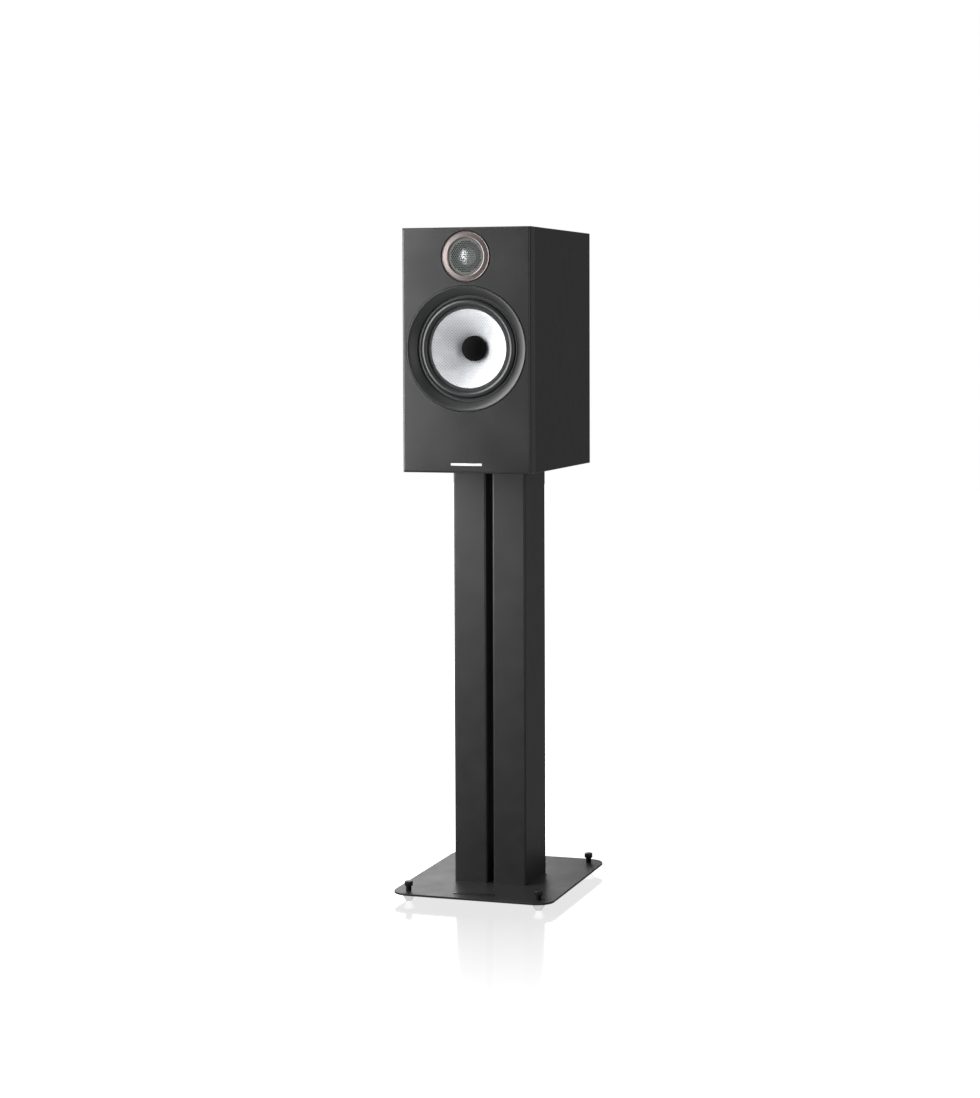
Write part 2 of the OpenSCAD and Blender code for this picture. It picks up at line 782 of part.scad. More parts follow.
module tweeter_tube() {
    mouth_r = pot_r - 4.3;
    tail = pot_back + tweeter_tube_l;
    color("#1a1a1b") in_baffle(tweeter_z) turned([[mouth_r - tube_wall, pot_back], [mouth_r, pot_back],
        [tube_tail_r, tail], [0, tail], [0, tail - tube_wall], [tube_tail_r - tube_wall, tail - tube_wall]]);
}

// ---- Port and terminals ----

module port_tube() {
    mouth_r = port_r + mouth_flare;
    inner_r = port_r + inner_flare;
    color("#151516") in_back(0, port_z) turned(concat(
        arc(mouth_r, mouth_flare - port_proud, mouth_flare, 270, 180, 10),
        arc(inner_r, port_l - inner_flare, inner_flare, 180, 90, 10),
        arc(inner_r, port_l - inner_flare, inner_flare - port_wall, 90, 180, 10),
        arc(mouth_r, mouth_flare - port_proud, mouth_flare - port_wall, 180, 270, 10),
        [[port_lip_r, port_lip_t], [port_lip_r, -port_proud]]));
}

module at_posts() {
    for (s = [-1, 1])
        translate([s * post_spacing / 2, 0, 0]) children();
}

// Four screws at the terminal panel's corners, also used as the cutter for their holes
module terminal_screws() {
    for (sx = [-1, 1], sy = [-1, 1])
        translate([sx * (terminal_panel_w / 2 - panel_screw_x),
            sy * (terminal_panel_h / 2 - panel_screw_y), 0]) {
            translate([0, 0, -panel_t - panel_head_t]) cylinder(r = panel_head_r, h = panel_head_t, $fn = 32);
            translate([0, 0, -panel_t]) cylinder(r = panel_thread_r, h = panel_screw_l, $fn = 32);
        }
}

module terminal_panel() {
    color("#1a1a1b") in_back(0, terminal_z) difference() {
        union() {
            translate([0, 0, -panel_t]) linear_extrude(panel_t)
                rounded_rect(terminal_panel_w, terminal_panel_h, panel_corner_r);
            at_posts() ring(0, collar_r, -post_base, -panel_t / 2);
        }
        at_posts() ring(0, post_r, -post_base - past, past);
        terminal_screws();
    }
}

module binding_posts() {
    color("#d8b45a") in_back(0, terminal_z) at_posts() difference() {
        ring(0, post_r, -terminal_reach, stud_inside);
        ring(0, banana_r, -terminal_reach - past, banana_depth - terminal_reach);
    }
}

module post_nuts() {
    color("#c9b27a") in_back(0, terminal_z) at_posts() difference() {
        cylinder(r = nut_r, h = nut_t, $fn = 6);
        ring(0, post_r, -past, nut_t + past);
    }
}

module post_washer(s) {
    washer_r = knob_r + 0.5;
    color("#c9a64e") in_back(s * post_spacing / 2, terminal_z)
        ring(post_r + 2 * running, washer_r, -post_base - washer_t, -post_base - running);
}

module post_knob(s, paint) {
    color(paint) in_back(s * post_spacing / 2, terminal_z) difference() {
        ring(post_r + running, knob_r, -knob_base - knob_l, -knob_base);
        for (i = [0 : flutes - 1])
            rotate([0, 0, i * 360 / flutes]) translate([knob_r + flute_out, 0, -knob_base - knob_l - past])
                cylinder(r = flute_r, h = knob_l - flute_stop + past, $fn = 24);
    }
}

// ---- Crossover and wiring ----

module on_crossover(x, y) {
    translate([x, crossover_y + y, crossover_top]) children();
}

module crossover_board() {
    color("#2c5a3c") {
        translate([-crossover_w / 2, crossover_y - crossover_l / 2, inner_z + standoff_h])
            cube([crossover_w, crossover_l, crossover_t]);
        for (sx = [-1, 1], sy = [-1, 1])
            translate([sx * (crossover_w / 2 - standoff_inset),
                crossover_y + sy * (crossover_l / 2 - standoff_inset), inner_z])
                    cylinder(r = standoff_r, h = standoff_h + crossover_t / 2, $fn = 32);
    }
}

// An air-cored coil in the woofer's circuit and a smaller one in the tweeter's
module crossover_coils() {
    color("#b8692f") {
        on_crossover(-26, 12) ring(10, 20, 0, 15);
        on_crossover(14, 20) ring(7, 14, 0, 12);
    }
}

module crossover_capacitors() {
    can_r = 7.5;
    can_l = 24;
    color("#c9b23c") for (i = [0 : 2])
        on_crossover(-44 + i * 22, -12) translate([0, 0, can_r]) rotate([90, 0, 0])
            cylinder(r = can_r, h = can_l, $fn = 48);
}

module crossover_resistors() {
    block = [9, 24, 9];
    color("#e4e2da") for (i = [0 : 1])
        on_crossover(22 + i * 14, -30) cube(block);
}

// A side's three wires: woofer feed, tweeter feed and the run from the terminals
module side_wires(s) {
    feed_y = front_y + plate_depth - 4;
    chassis_z = woofer_z - sqrt(basket_r * basket_r - pow(feed_x - wire_r, 2));
    riser_y = front_y + riser_depth;
    yoke_x = pot_r - 2.5;
    post_y = back_y - stud_inside;
    drop_y = crossover_y + crossover_l / 2 - 3;
    wire([[s * feed_x, feed_y, crossover_top], [s * feed_x, feed_y, chassis_z]], wire_r);
    wire([[s * yoke_x, front_y + pot_back, tweeter_z], [s * yoke_x, riser_y, tweeter_z],
        [s * riser_x, riser_y, tweeter_z], [s * riser_x, riser_y, crossover_top + riser_foot_z],
        [s * riser_foot_x, riser_y, crossover_top + riser_foot_z],
        [s * riser_foot_x, riser_y, crossover_top]], wire_r);
    wire([[s * post_spacing / 2, post_y, terminal_z], [s * post_spacing / 2, drop_y, terminal_z],
        [s * post_spacing / 2, drop_y, crossover_top]], wire_r);
}

module internal_wires() {
    color("#a02020") side_wires(1);
    color("#202020") side_wires(-1);
}

module panel_screws() {
    color("#6a6c6f") {
        in_baffle(woofer_z) woofer_screws();
        in_back(0, terminal_z) terminal_screws();
    }
}

// ---- Stand ----

module at_column_bolts() {
    for (sx = [-1, 1], sy = [-1, 1])
        translate([sx * column_x, mid_y + sy * column_bolt_y, 0]) children();
}

module at_fixings() {
    for (sx = [-1, 1], sy = [-1, 1])
        translate([sx * fixing_x, mid_y + sy * fixing_y, 0]) children();
}

// A countersunk bolt down into a column, also used as the cutter for its hole
module top_bolt() {
    translate([0, 0, stand_h - csk_t]) cylinder(r1 = bolt_r, r2 = csk_r, h = csk_t, $fn = 48);
    translate([0, 0, stand_h - top_plate_t - column_end_t])
        cylinder(r = bolt_r, h = top_plate_t + column_end_t, $fn = 48);
}

module stand_top_plate() {
    color("#262627") difference() {
        translate([0, mid_y, stand_h - top_plate_t]) linear_extrude(top_plate_t)
            rounded_rect(top_plate_w, top_plate_d, top_corner_r);
        at_column_bolts() top_bolt();
        at_fixings() translate([0, 0, stand_h - top_plate_t - past])
            cylinder(r = bolt_r + bolt_clearance, h = top_plate_t + 2 * past, $fn = 48);
    }
}

module stand_column(s) {
    color("#303031") difference() {
        translate([s * column_x, mid_y, base_top]) linear_extrude(column_l)
            rounded_rect(column_w, column_d, column_edge_r);
        translate([s * column_x, mid_y, base_top + column_end_t]) linear_extrude(column_l - 2 * column_end_t)
            rounded_rect(column_w - 2 * column_wall, column_d - 2 * column_wall, column_edge_r - column_wall);
        for (sy = [-1, 1])
            translate([s * column_x, mid_y + sy * column_bolt_y, base_top - past])
                cylinder(r = bolt_r, h = column_l + 2 * past, $fn = 48);
    }
}

module stand_base_plate() {
    color("#262627") difference() {
        translate([0, mid_y, base_z]) linear_extrude(base_t) rounded_rect(base_w, base_d, base_corner_r);
        at_column_bolts() translate([0, 0, base_z - past])
            cylinder(r = bolt_r + bolt_clearance, h = base_t + 2 * past, $fn = 48);
        for (place = leveller_places)
            translate([place[0], place[1], base_z - past])
                cylinder(r = stem_r + running, h = base_t + 2 * past, $fn = 48);
    }
}

module stand_badge() {
    color("#101010") translate([0, mid_y - base_d / 2 + stand_badge_inset, base_top])
        linear_extrude(stand_badge_t) rounded_rect(stand_badge_w, stand_badge_d, small_corner_r);
}

module stand_bolts() {
    color("#4a4b4d") {
        at_column_bolts() {
            top_bolt();
            translate([0, 0, base_z - bolt_head_t])
                cylinder(r = bolt_head_r, h = bolt_head_t, $fn = 48);
            translate([0, 0, base_z - past / 2])
                cylinder(r = bolt_r, h = base_t + column_end_t + past / 2, $fn = 48);
        }
        at_fixings() {
            translate([0, 0, stand_h - top_plate_t - fixing_head_t])
                cylinder(r = bolt_head_r, h = fixing_head_t, $fn = 48);
            translate([0, 0, stand_h - top_plate_t - past / 2])
                cylinder(r = bolt_r, h = top_plate_t + fixing_l + past / 2, $fn = 48);
        }
    }
}

// Knurled head, neck and threaded stem, which turn in the plate and in the foot
module leveller_screw(i) {
    head_z = base_top + head_rise;
    color("#0f0f10") translate([leveller_places[i][0], leveller_places[i][1], 0]) difference() {
        turned([[0, foot_socket + running], [stem_r, foot_socket + running], [stem_r, head_z],
            [head_r - head_chamfer, head_z], [head_r, head_z + head_chamfer],
            [head_r, head_z + head_h - head_chamfer], [head_r - head_chamfer, head_z + head_h],
            [0, head_z + head_h]]);
        for (k = [0 : knurls - 1])
            rotate([0, 0, k * 360 / knurls]) translate([head_r + knurl_out, 0, head_z - past])
                cylinder(r = knurl_r, h = head_h + 2 * past, $fn = 16);
    }
}

module leveller_foot(i) {
    top = foot_h - foot_gap;
    socket_r = stem_r + running;
    color("#e4e6e8") translate([leveller_places[i][0], leveller_places[i][1], 0])
        turned([[0, 0], [foot_tip_r, 0], [foot_r, top - foot_rim], [foot_r, top], [socket_r, top],
            [socket_r, foot_socket], [0, foot_socket]]);
}

cabinet_side(-1);  // cabinet_left_side
cabinet_side(1);  // cabinet_right_side
cabinet_top();
cabinet_bottom();
front_baffle();
rear_panel();
window_brace();
damping_foam();
front_badge();
woofer_trim_ring();
woofer_chassis();
woofer_gasket();
woofer_surround();
woofer_cone();
woofer_plug();
woofer_voice_coil();
woofer_spider();
woofer_top_plate();
woofer_magnet();
woofer_yoke();
woofer_leads();
tweeter_trim_ring();
tweeter_decoupling_ring();
tweeter_body();
tweeter_mesh();
tweeter_dome();
tweeter_surround();
tweeter_coil();
tweeter_pole_piece();
tweeter_magnet();
tweeter_yoke();
tweeter_tube();
port_tube();
terminal_panel();
binding_posts();
post_nuts();
post_washer(1);  // red_post_washer
post_knob(1, "#a3161c");  // red_post_knob
post_washer(-1);  // black_post_washer
post_knob(-1, "#141415");  // black_post_knob
crossover_board();
crossover_coils();
crossover_capacitors();
crossover_resistors();
internal_wires();
panel_screws();
stand_top_plate();
stand_column(-1);  // stand_column_left
stand_column(1);  // stand_column_right
stand_base_plate();
stand_badge();
stand_bolts();
leveller_screw(0);  // leveller_screw_1
leveller_screw(1);  // leveller_screw_2
leveller_screw(2);  // leveller_screw_3
leveller_screw(3);  // leveller_screw_4
leveller_foot(0);  // leveller_foot_1
leveller_foot(1);  // leveller_foot_2
leveller_foot(2);  // leveller_foot_3
leveller_foot(3);  // leveller_foot_4
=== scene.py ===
"""Looks of a two-way bookshelf loudspeaker on its floor stand, built round its CAD frame.

Sizes of pieces are in millimetres until they reach a mesh, and a turned piece's outline is
a list of (radius, depth) points, where depth grows from the baffle's face into the cabinet.
"""

import json
import math

import bmesh
import bpy
from bpy.props import FloatProperty, FloatVectorProperty, IntProperty, PointerProperty
from mathutils import Euler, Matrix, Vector
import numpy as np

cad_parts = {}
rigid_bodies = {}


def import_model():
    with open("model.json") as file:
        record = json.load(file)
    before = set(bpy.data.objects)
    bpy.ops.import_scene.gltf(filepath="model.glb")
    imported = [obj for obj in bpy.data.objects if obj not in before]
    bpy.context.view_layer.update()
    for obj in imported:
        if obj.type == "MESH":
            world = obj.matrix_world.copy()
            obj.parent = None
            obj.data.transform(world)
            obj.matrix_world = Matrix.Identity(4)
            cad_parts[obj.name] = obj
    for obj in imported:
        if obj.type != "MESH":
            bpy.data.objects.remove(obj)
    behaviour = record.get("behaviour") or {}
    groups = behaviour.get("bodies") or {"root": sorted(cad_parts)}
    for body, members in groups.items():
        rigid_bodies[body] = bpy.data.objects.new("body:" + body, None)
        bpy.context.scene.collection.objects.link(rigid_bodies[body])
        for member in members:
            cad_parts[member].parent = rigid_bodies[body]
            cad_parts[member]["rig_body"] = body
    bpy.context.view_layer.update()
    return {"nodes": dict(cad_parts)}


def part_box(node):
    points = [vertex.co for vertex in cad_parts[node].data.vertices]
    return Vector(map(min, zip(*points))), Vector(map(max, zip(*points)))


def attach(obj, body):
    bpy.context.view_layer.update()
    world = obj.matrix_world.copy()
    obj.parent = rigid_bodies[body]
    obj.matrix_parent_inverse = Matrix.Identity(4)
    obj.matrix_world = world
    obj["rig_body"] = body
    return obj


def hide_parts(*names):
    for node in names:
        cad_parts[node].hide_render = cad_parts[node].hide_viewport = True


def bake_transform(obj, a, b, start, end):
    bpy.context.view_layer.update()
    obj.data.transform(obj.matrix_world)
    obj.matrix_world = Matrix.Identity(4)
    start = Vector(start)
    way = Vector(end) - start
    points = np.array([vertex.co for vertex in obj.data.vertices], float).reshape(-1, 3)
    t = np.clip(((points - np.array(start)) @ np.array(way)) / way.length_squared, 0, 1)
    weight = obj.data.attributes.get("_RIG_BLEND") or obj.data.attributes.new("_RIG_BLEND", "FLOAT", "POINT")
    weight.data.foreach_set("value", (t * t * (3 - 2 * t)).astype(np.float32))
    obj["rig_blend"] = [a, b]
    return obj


bl_info = {
    "name": "Bookshelf Loudspeaker",
    "version": (1, 0, 0),
    "blender": (4, 5, 0),
    "location": "View3D > Sidebar > Loudspeaker",
    "description": "Fine pieces, finishes and a studio for a loudspeaker on its stand",
    "category": "Object",
}

MM = 0.001
CABINET_BODY = "stand_and_cabinet"
SHARP_ANGLE = math.radians(32)
TURNING_STEPS = 144
# The floor ends just inside the backdrop (metres), and away from the stand it glows by itself a little over full
# white
BACKDROP_REACH = 9.0
FLOOR_REACH = 8.8
FULL_WHITE = 1.02

# Sockets of the Mix node when it mixes colours
FACTOR, COLOR_A, COLOR_B, COLOR_OUT = 0, 6, 7, 2

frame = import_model()


def middle(node):
    """The middle of a CAD node's box."""
    low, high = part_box(node)
    return (low + high) / 2


BAFFLE_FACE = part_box("front_baffle")[0].y
WOOFER = Vector((0, BAFFLE_FACE, middle("woofer_trim_ring").z))
TWEETER = Vector((0, BAFFLE_FACE, middle("tweeter_trim_ring").z))


def linear(code):
    """An sRGB hex colour as linear red, green and blue."""
    channels = [int(code[i : i + 2], 16) / 255 for i in (1, 3, 5)]
    return [c / 12.92 if c <= 0.04045 else ((c + 0.055) / 1.055) ** 2.4 for c in channels]


def color_setting(name, description, code):
    """A colour that the user can change, from its sRGB hex value."""
    return FloatVectorProperty(
        name=name, description=description, subtype="COLOR", size=3, min=0, max=1, default=linear(code)
    )


def size_setting(name, description, value, low=0.01, high=500):
    """A size in millimetres that the user can change."""
    return FloatProperty(name=name, description=description, default=value, min=low, max=high, precision=2)


def share_setting(name, description, value):
    """A share from 0 to 1 that the user can change."""
    return FloatProperty(name=name, description=description, subtype="FACTOR", default=value, min=0, max=1)


# ---- Settings ----


def power_setting(name, description, watts):
    """A light's power in watts."""
    return FloatProperty(name=name, description=description, subtype="POWER", default=watts)


class CabinetSettings(bpy.types.PropertyGroup):
    """Colours and grain of the cabinet's boards"""

    wrap: color_setting("Wrap", "Vinyl wrap of the sides, top, bottom and back", "#1c1c1d")
    paint: color_setting("Baffle paint", "Satin paint of the front baffle", "#161617")
    plate: color_setting("Badge plate", "Satin plate on the baffle", "#cfcfcd")
    wrap_roughness: share_setting("Wrap roughness", "Roughness of the vinyl wrap", 0.5)
    paint_roughness: share_setting("Paint roughness", "Roughness of the baffle's paint", 0.34)
    wrap_grain: size_setting("Wrap grain", "Size of the wrap's pebbles", 1.6)


class WooferSettings(bpy.types.PropertyGroup):
    """Sizes and colours of the woofer"""

    lip_width: size_setting("Lip width", "Width of the trim ring's raised outer lip", 1.5)
    flare_power: FloatProperty(
        name="Flare power", description="How late the trim ring's flare steepens", default=1.35, min=1, max=3
    )
    roll_outer: size_setting("Roll outer radius", "Outer radius of the surround's half roll", 70.2)
    roll_inner: size_setting("Roll inner radius", "Inner radius of the surround's half roll", 60.2)
    bead: size_setting("Bead radius", "Radius of the bead outside the roll", 0.9)
    rib: size_setting("Rib radius", "Radius of the fine ribs beside the cone", 0.38)
    rib_count: IntProperty(name="Ribs", description="Fine ribs beside the cone", default=2, min=0, max=4)
    cone_edge: size_setting("Cone edge radius", "Radius of the cone's visible edge", 55.6)
    cone_neck: size_setting("Cone neck radius", "Radius of the cone at the plug", 18.5)
    cone_depth: size_setting("Cone depth", "Depth of the cone from its edge to its neck", 26.5)
    thread: size_setting("Thread pitch", "Spacing of the cone's woven threads", 2.9)
    cone: color_setting("Cone", "Silver threads of the cone", "#c3c5c8")
    cone_pits: color_setting("Cone pits", "Gaps between the cone's threads", "#43464a")
    rubber: color_setting("Rubber", "Butyl rubber of the surround", "#1d1e1f")
    moulding: color_setting("Ring moulding", "Matt moulding of the trim ring", "#191a1b")
    foam: color_setting("Plug", "Foam of the plug in the cone", "#020202")


class TweeterSettings(bpy.types.PropertyGroup):
    """Sizes and colours of the tweeter"""

    ring: color_setting("Trim ring", "Anodised trim ring", "#7a716f")
    ring_slope: size_setting("Ring slope", "How far the ring's face falls towards its rim", 0.42)
    notch_width: size_setting("Notch width", "Width of the notch at the top of the ring", 1.6)
    mesh: color_setting("Mesh", "Enamel of the steel mesh", "#474b49")
    dome: color_setting("Dome", "Bright dome", "#e3e4e6")


class TerminalSettings(bpy.types.PropertyGroup):
    """Colours and edges of the port and terminals"""

    moulding: color_setting("Moulding", "Matt moulding of the port and panel", "#151516")
    red: color_setting("Red knob", "Clear red moulding", "#9c1218")
    black: color_setting("Black knob", "Gloss black moulding", "#0d0d0e")
    gilt: color_setting("Gilt", "Gold plating of the posts and washers", "#d9b562")
    edge: size_setting("Edge rounding", "Rounding of the small parts' edges", 0.3)


class StandSettings(bpy.types.PropertyGroup):
    """Colours and edges of the stand"""

    coat: color_setting("Powder coat", "Fine-texture powder coat", "#1b1b1c")
    grain: size_setting("Coat grain", "Size of the powder coat's grains", 1.8)
    coat_roughness: share_setting("Coat roughness", "Roughness of the powder coat", 0.42)
    edge: size_setting("Plate edge rounding", "Rounding of the plates' cut edges", 0.5)
    steel: color_setting("Blackened steel", "Bolts and the levellers' heads", "#0f0f10")
    foot: color_setting("Foot", "Polished feet", "#e8e9eb")


class StudioSettings(bpy.types.PropertyGroup):
    """Light, floor and camera"""

    room: share_setting("Room", "Light that comes from all round", 0.2)
    bounce: share_setting("Bounce", "Light that comes up from the floor", 0.75)
    key: power_setting("Key", "Power of the softbox on the left", 24)
    strip: power_setting("Strip", "Power of the strip at the left front", 23)
    fill: power_setting("Fill", "Power of the panel at the right", 11)
    rear: power_setting("Rear", "Power of the panel behind", 17)
    top: power_setting("Top", "Power of the panel overhead", 20)
    floor_glow: share_setting("Floor glow", "Brightness of the floor by itself", 0.77)
    # The floor's painted glow rises from Floor glow to full white between these two distances from the middle and
    # washes out its real reflection of the stand; the mirror itself doesn't fade
    washout_near: FloatProperty(
        name="Mirror near", description="Where the mirroring starts to fade", default=0.2, unit="LENGTH"
    )
    washout_far: FloatProperty(
        name="Mirror far", description="Where the mirroring has faded", default=0.62, unit="LENGTH"
    )
    backdrop: FloatProperty(name="Backdrop", description="Brightness that the floor mirrors", default=1.4)
    lens: FloatProperty(
        name="Lens", description="Focal length in millimetres", subtype="DISTANCE_CAMERA", default=79.56
    )


# ---- Shared tools for meshes ----


def arc(middle_r, middle_depth, radius, start, end, steps):
    """Outline points of an arc; 270 degrees faces the listener and 0 faces outwards."""
    angles = [math.radians(start + (end - start) * i / steps) for i in range(steps + 1)]
    return [(middle_r + radius * math.cos(a), middle_depth + radius * math.sin(a)) for a in angles]


def turned(outline, centre, closed=True):
    """Spins an outline round a driver's axis into a shell."""
    bm = bmesh.new()
    points = [bm.verts.new(centre + Vector((r * MM, depth * MM, 0))) for r, depth in outline]
    edges = [bm.edges.new(pair) for pair in zip(points, points[1:])]
    if closed:
        edges.append(bm.edges.new((points[-1], points[0])))
    bmesh.ops.spin(
        bm, geom=points + edges, cent=centre, axis=(0, 1, 0), angle=math.tau,
        steps=TURNING_STEPS, use_merge=True,
    )
    bmesh.ops.remove_doubles(bm, verts=bm.verts, dist=0.001 * MM)
    bmesh.ops.recalc_face_normals(bm, faces=bm.faces)
    return bm


def softened(node, rounding):
    """A copy of a CAD node with its seams merged and its sharp edges broken by a small chamfer."""
    bm = bmesh.new()
    bm.from_mesh(frame["nodes"][node].data)
    bmesh.ops.remove_doubles(bm, verts=bm.verts, dist=0.002 * MM)
    bmesh.ops.dissolve_limit(bm, verts=bm.verts, edges=bm.edges, angle_limit=math.radians(0.5))
    sharp = [e for e in bm.edges if e.is_manifold and e.calc_face_angle() > SHARP_ANGLE]
    bmesh.ops.bevel(
        bm, geom=sharp, offset=rounding * MM, affect="EDGES", segments=1, profile=0.5,
        material=-1, clamp_overlap=True,
    )
    return bm


def show(name, bm, finish):
    """Makes a bmesh an object with its finish, smooth except at sharp edges."""
    mesh = bpy.data.meshes.new(name)
    bm.to_mesh(mesh)
    bm.free()
    mesh.materials.append(finish)
    mesh.shade_smooth()
    mesh.set_sharp_from_angle(angle=SHARP_ANGLE)
    obj = bpy.data.objects.new(name, mesh)
    bpy.context.scene.collection.objects.link(obj)
    return obj


def stand_for(obj, *nodes):
    """The object takes the place of CAD nodes, which it hides."""
    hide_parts(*nodes)
    return obj


def fitted(name, bm, finish, *nodes):
    """A rigid piece that stands for CAD nodes and rides on their body."""
    obj = show(name, bm, finish)
    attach(obj, frame["nodes"][nodes[0]]["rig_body"])
    return stand_for(obj, *nodes)


def flexing(name, bm, finish, node, moving_body, centre, still_r, moving_r):
    """A piece between the cabinet and a moving body: it bends between two radii."""
    obj = show(name, bm, finish)
    across = Vector((MM, 0, 0))
    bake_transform(obj, CABINET_BODY, moving_body, start=centre + across * still_r, end=centre + across * moving_r)
    weights = obj.data.attributes["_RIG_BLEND"].data
    for vertex, weight in zip(obj.data.vertices, weights):
        radius = math.hypot(vertex.co.x - centre.x, vertex.co.z - centre.z) / MM
        share = min(1, max(0, (still_r - radius) / (still_r - moving_r)))
        weight.value = share * share * (3 - 2 * share)
    return stand_for(obj, node)


def coat(finish, *nodes):
    """Gives CAD nodes their finish."""
    for node in nodes:
        slots = frame["nodes"][node].data.materials
        slots.clear()
        slots.append(finish)


# ---- Shared tools for materials ----


def add(tree, kind, sockets=None, **settings):
    """Adds a node. A socket's value is a number, a vector or another node's output."""
    node = tree.nodes.new("ShaderNode" + kind)
    for name, value in settings.items():
        setattr(node, name, value)
    for name, value in (sockets or {}).items():
        if isinstance(value, bpy.types.NodeSocket):
            tree.links.new(value, node.inputs[name])
        else:
            node.inputs[name].default_value = value
    return node


def start_material(name, color, roughness, metallic=0.0, **sockets):
    """A new material and its shader, with the given values on the shader's own sockets."""
    material = bpy.data.materials.new(name)
    material.use_nodes = True
    tree = material.node_tree
    tree.nodes.clear()
    values = {"Base Color": (*color, 1), "Roughness": roughness, "Metallic": metallic}
    values.update({key.replace("_", " "): value for key, value in sockets.items()})
    shader = add(tree, "BsdfPrincipled", values)
    add(tree, "OutputMaterial", {"Surface": shader.outputs["BSDF"]})
    return material, tree, shader


def measured(tree, size, centre=(0, 0, 0), turn=(0, 0, 0), stretch=(1, 1, 1)):
    """Object coordinates about a centre, where one step is a real size in millimetres."""
    place = add(tree, "TexCoord").outputs["Object"]
    moved = add(tree, "VectorMath", {0: place, 1: centre}, operation="SUBTRACT")
    scale = [1 / (size * along * MM) for along in stretch]
    mapping = add(tree, "Mapping", {"Vector": moved.outputs[0], "Rotation": turn, "Scale": scale})
    return mapping.outputs["Vector"]


def textured(material, tree, shader, height, depth, shade=0.0, gloss=0.0):
    """Lets one height pattern set relief in millimetres and a share of shade and roughness."""
    bump = add(tree, "Bump", {"Height": height, "Distance": depth * MM, "Strength": 1})
    tree.links.new(bump.outputs["Normal"], shader.inputs["Normal"])
    if shade:
        color = tuple(shader.inputs["Base Color"].default_value)
        dark = tuple(c * (1 - shade) for c in color[:3]) + (1,)
        light = tuple(min(1, c * (1 + shade)) for c in color[:3]) + (1,)
        mix = add(tree, "Mix", {FACTOR: height, COLOR_A: dark, COLOR_B: light}, data_type="RGBA")
        tree.links.new(mix.outputs[COLOR_OUT], shader.inputs["Base Color"])
    if gloss:
        rough = shader.inputs["Roughness"].default_value
        spread = add(
            tree, "MapRange", {"Value": height, "To Min": rough * (1 - gloss), "To Max": rough * (1 + gloss)}
        )
        tree.links.new(spread.outputs["Result"], shader.inputs["Roughness"])
    return material


# ---- Materials by process ----


def moulded(name, color, roughness, grain, depth=0.02, **sockets):
    """Moulded plastic or rubber: an even sheen broken by the fine grain of the mould."""
    material, tree, shader = start_material(name, color, roughness, **sockets)
    noise = add(tree, "TexNoise", {"Vector": measured(tree, grain), "Scale": 1, "Detail": 3})
    return textured(material, tree, shader, noise.outputs["Fac"], depth, shade=0.15, gloss=0.12)


def mottled(name, color, roughness, grain, depth, mottle, **sockets):
    """Film, paint or powder: a fine grain over a broad, faint mottling of its gloss."""
    material, tree, shader = start_material(name, color, roughness, **sockets)
    fine = add(tree, "TexNoise", {"Vector": measured(tree, grain), "Scale": 1, "Detail": 4, "Roughness": 0.6})
    broad = add(tree, "TexNoise", {"Vector": measured(tree, mottle), "Scale": 1, "Detail": 2})
    both = add(tree, "Math", {0: fine.outputs["Fac"], 1: broad.outputs["Fac"]}, operation="MULTIPLY")
    lifted = add(tree, "Math", {0: both.outputs[0], 1: 2.0}, operation="MULTIPLY", use_clamp=True)
    return textured(material, tree, shader, lifted.outputs[0], depth, shade=0.3, gloss=0.14)


def turned_metal(name, color, roughness, pitch, centre, depth=0.004, **sockets):
    """Metal faced on a lathe: fine rings round its axis that break up the reflection."""
    material, tree, shader = start_material(name, color, roughness, metallic=1.0, **sockets)
    rings = add(
        tree, "TexWave",
        {"Vector": measured(tree, pitch, centre), "Scale": 0.5, "Distortion": 0.6, "Detail": 2},
        wave_type="RINGS", rings_direction="Y",
    )
    return textured(material, tree, shader, rings.outputs["Fac"], depth, shade=0.08, gloss=0.15)


def plated_metal(name, color, roughness, wear=6.0, **sockets):
    """Plated or polished metal: a clear mirror with faint clouds where hands have been."""
    material, tree, shader = start_material(name, color, roughness, metallic=1.0, **sockets)
    clouds = add(tree, "TexNoise", {"Vector": measured(tree, wear), "Scale": 1, "Detail": 5})
    return textured(material, tree, shader, clouds.outputs["Fac"], 0.002, shade=0.05, gloss=0.4)


def woven(name, color, pits, roughness, thread, depth, metallic=0.0, **sockets):
    """Plain-woven cloth seen square on: threads at 45 degrees with small dark gaps between."""
    material, tree, shader = start_material(name, color, roughness, metallic, **sockets)
    across = measured(tree, thread / math.pi, turn=(0, math.radians(45), 0))
    axes = add(tree, "SeparateXYZ", {0: across})
    warp = add(tree, "Math", {0: axes.outputs["X"]}, operation="SINE")
    weft = add(tree, "Math", {0: axes.outputs["Z"]}, operation="SINE")
    warp_rise = add(tree, "Math", {0: warp.outputs[0]}, operation="ABSOLUTE")
    weft_rise = add(tree, "Math", {0: weft.outputs[0]}, operation="ABSOLUTE")
    rise = add(tree, "Math", {0: warp_rise.outputs[0], 1: weft_rise.outputs[0]}, operation="MAXIMUM")
    slub = add(tree, "TexNoise", {"Vector": measured(tree, thread * 4), "Scale": 1, "Detail": 3})
    uneven = add(tree, "MapRange", {"Value": slub.outputs["Fac"], "From Min": 0.35, "From Max": 0.65,
                                    "To Min": 0.1, "To Max": 1.0})
    open_gap = add(tree, "MapRange", {"Value": rise.outputs[0], "From Min": 0.15, "From Max": 0.8})
    height = add(
        tree, "Math", {0: open_gap.outputs["Result"], 1: uneven.outputs["Result"]}, operation="MAXIMUM"
    )
    threads = add(
        tree, "Mix", {FACTOR: height.outputs[0], COLOR_A: (*pits, 1), COLOR_B: (*color, 1)}, data_type="RGBA"
    )
    textured(material, tree, shader, rise.outputs[0], depth)
    tree.links.new(threads.outputs[COLOR_OUT], shader.inputs["Base Color"])
    return material


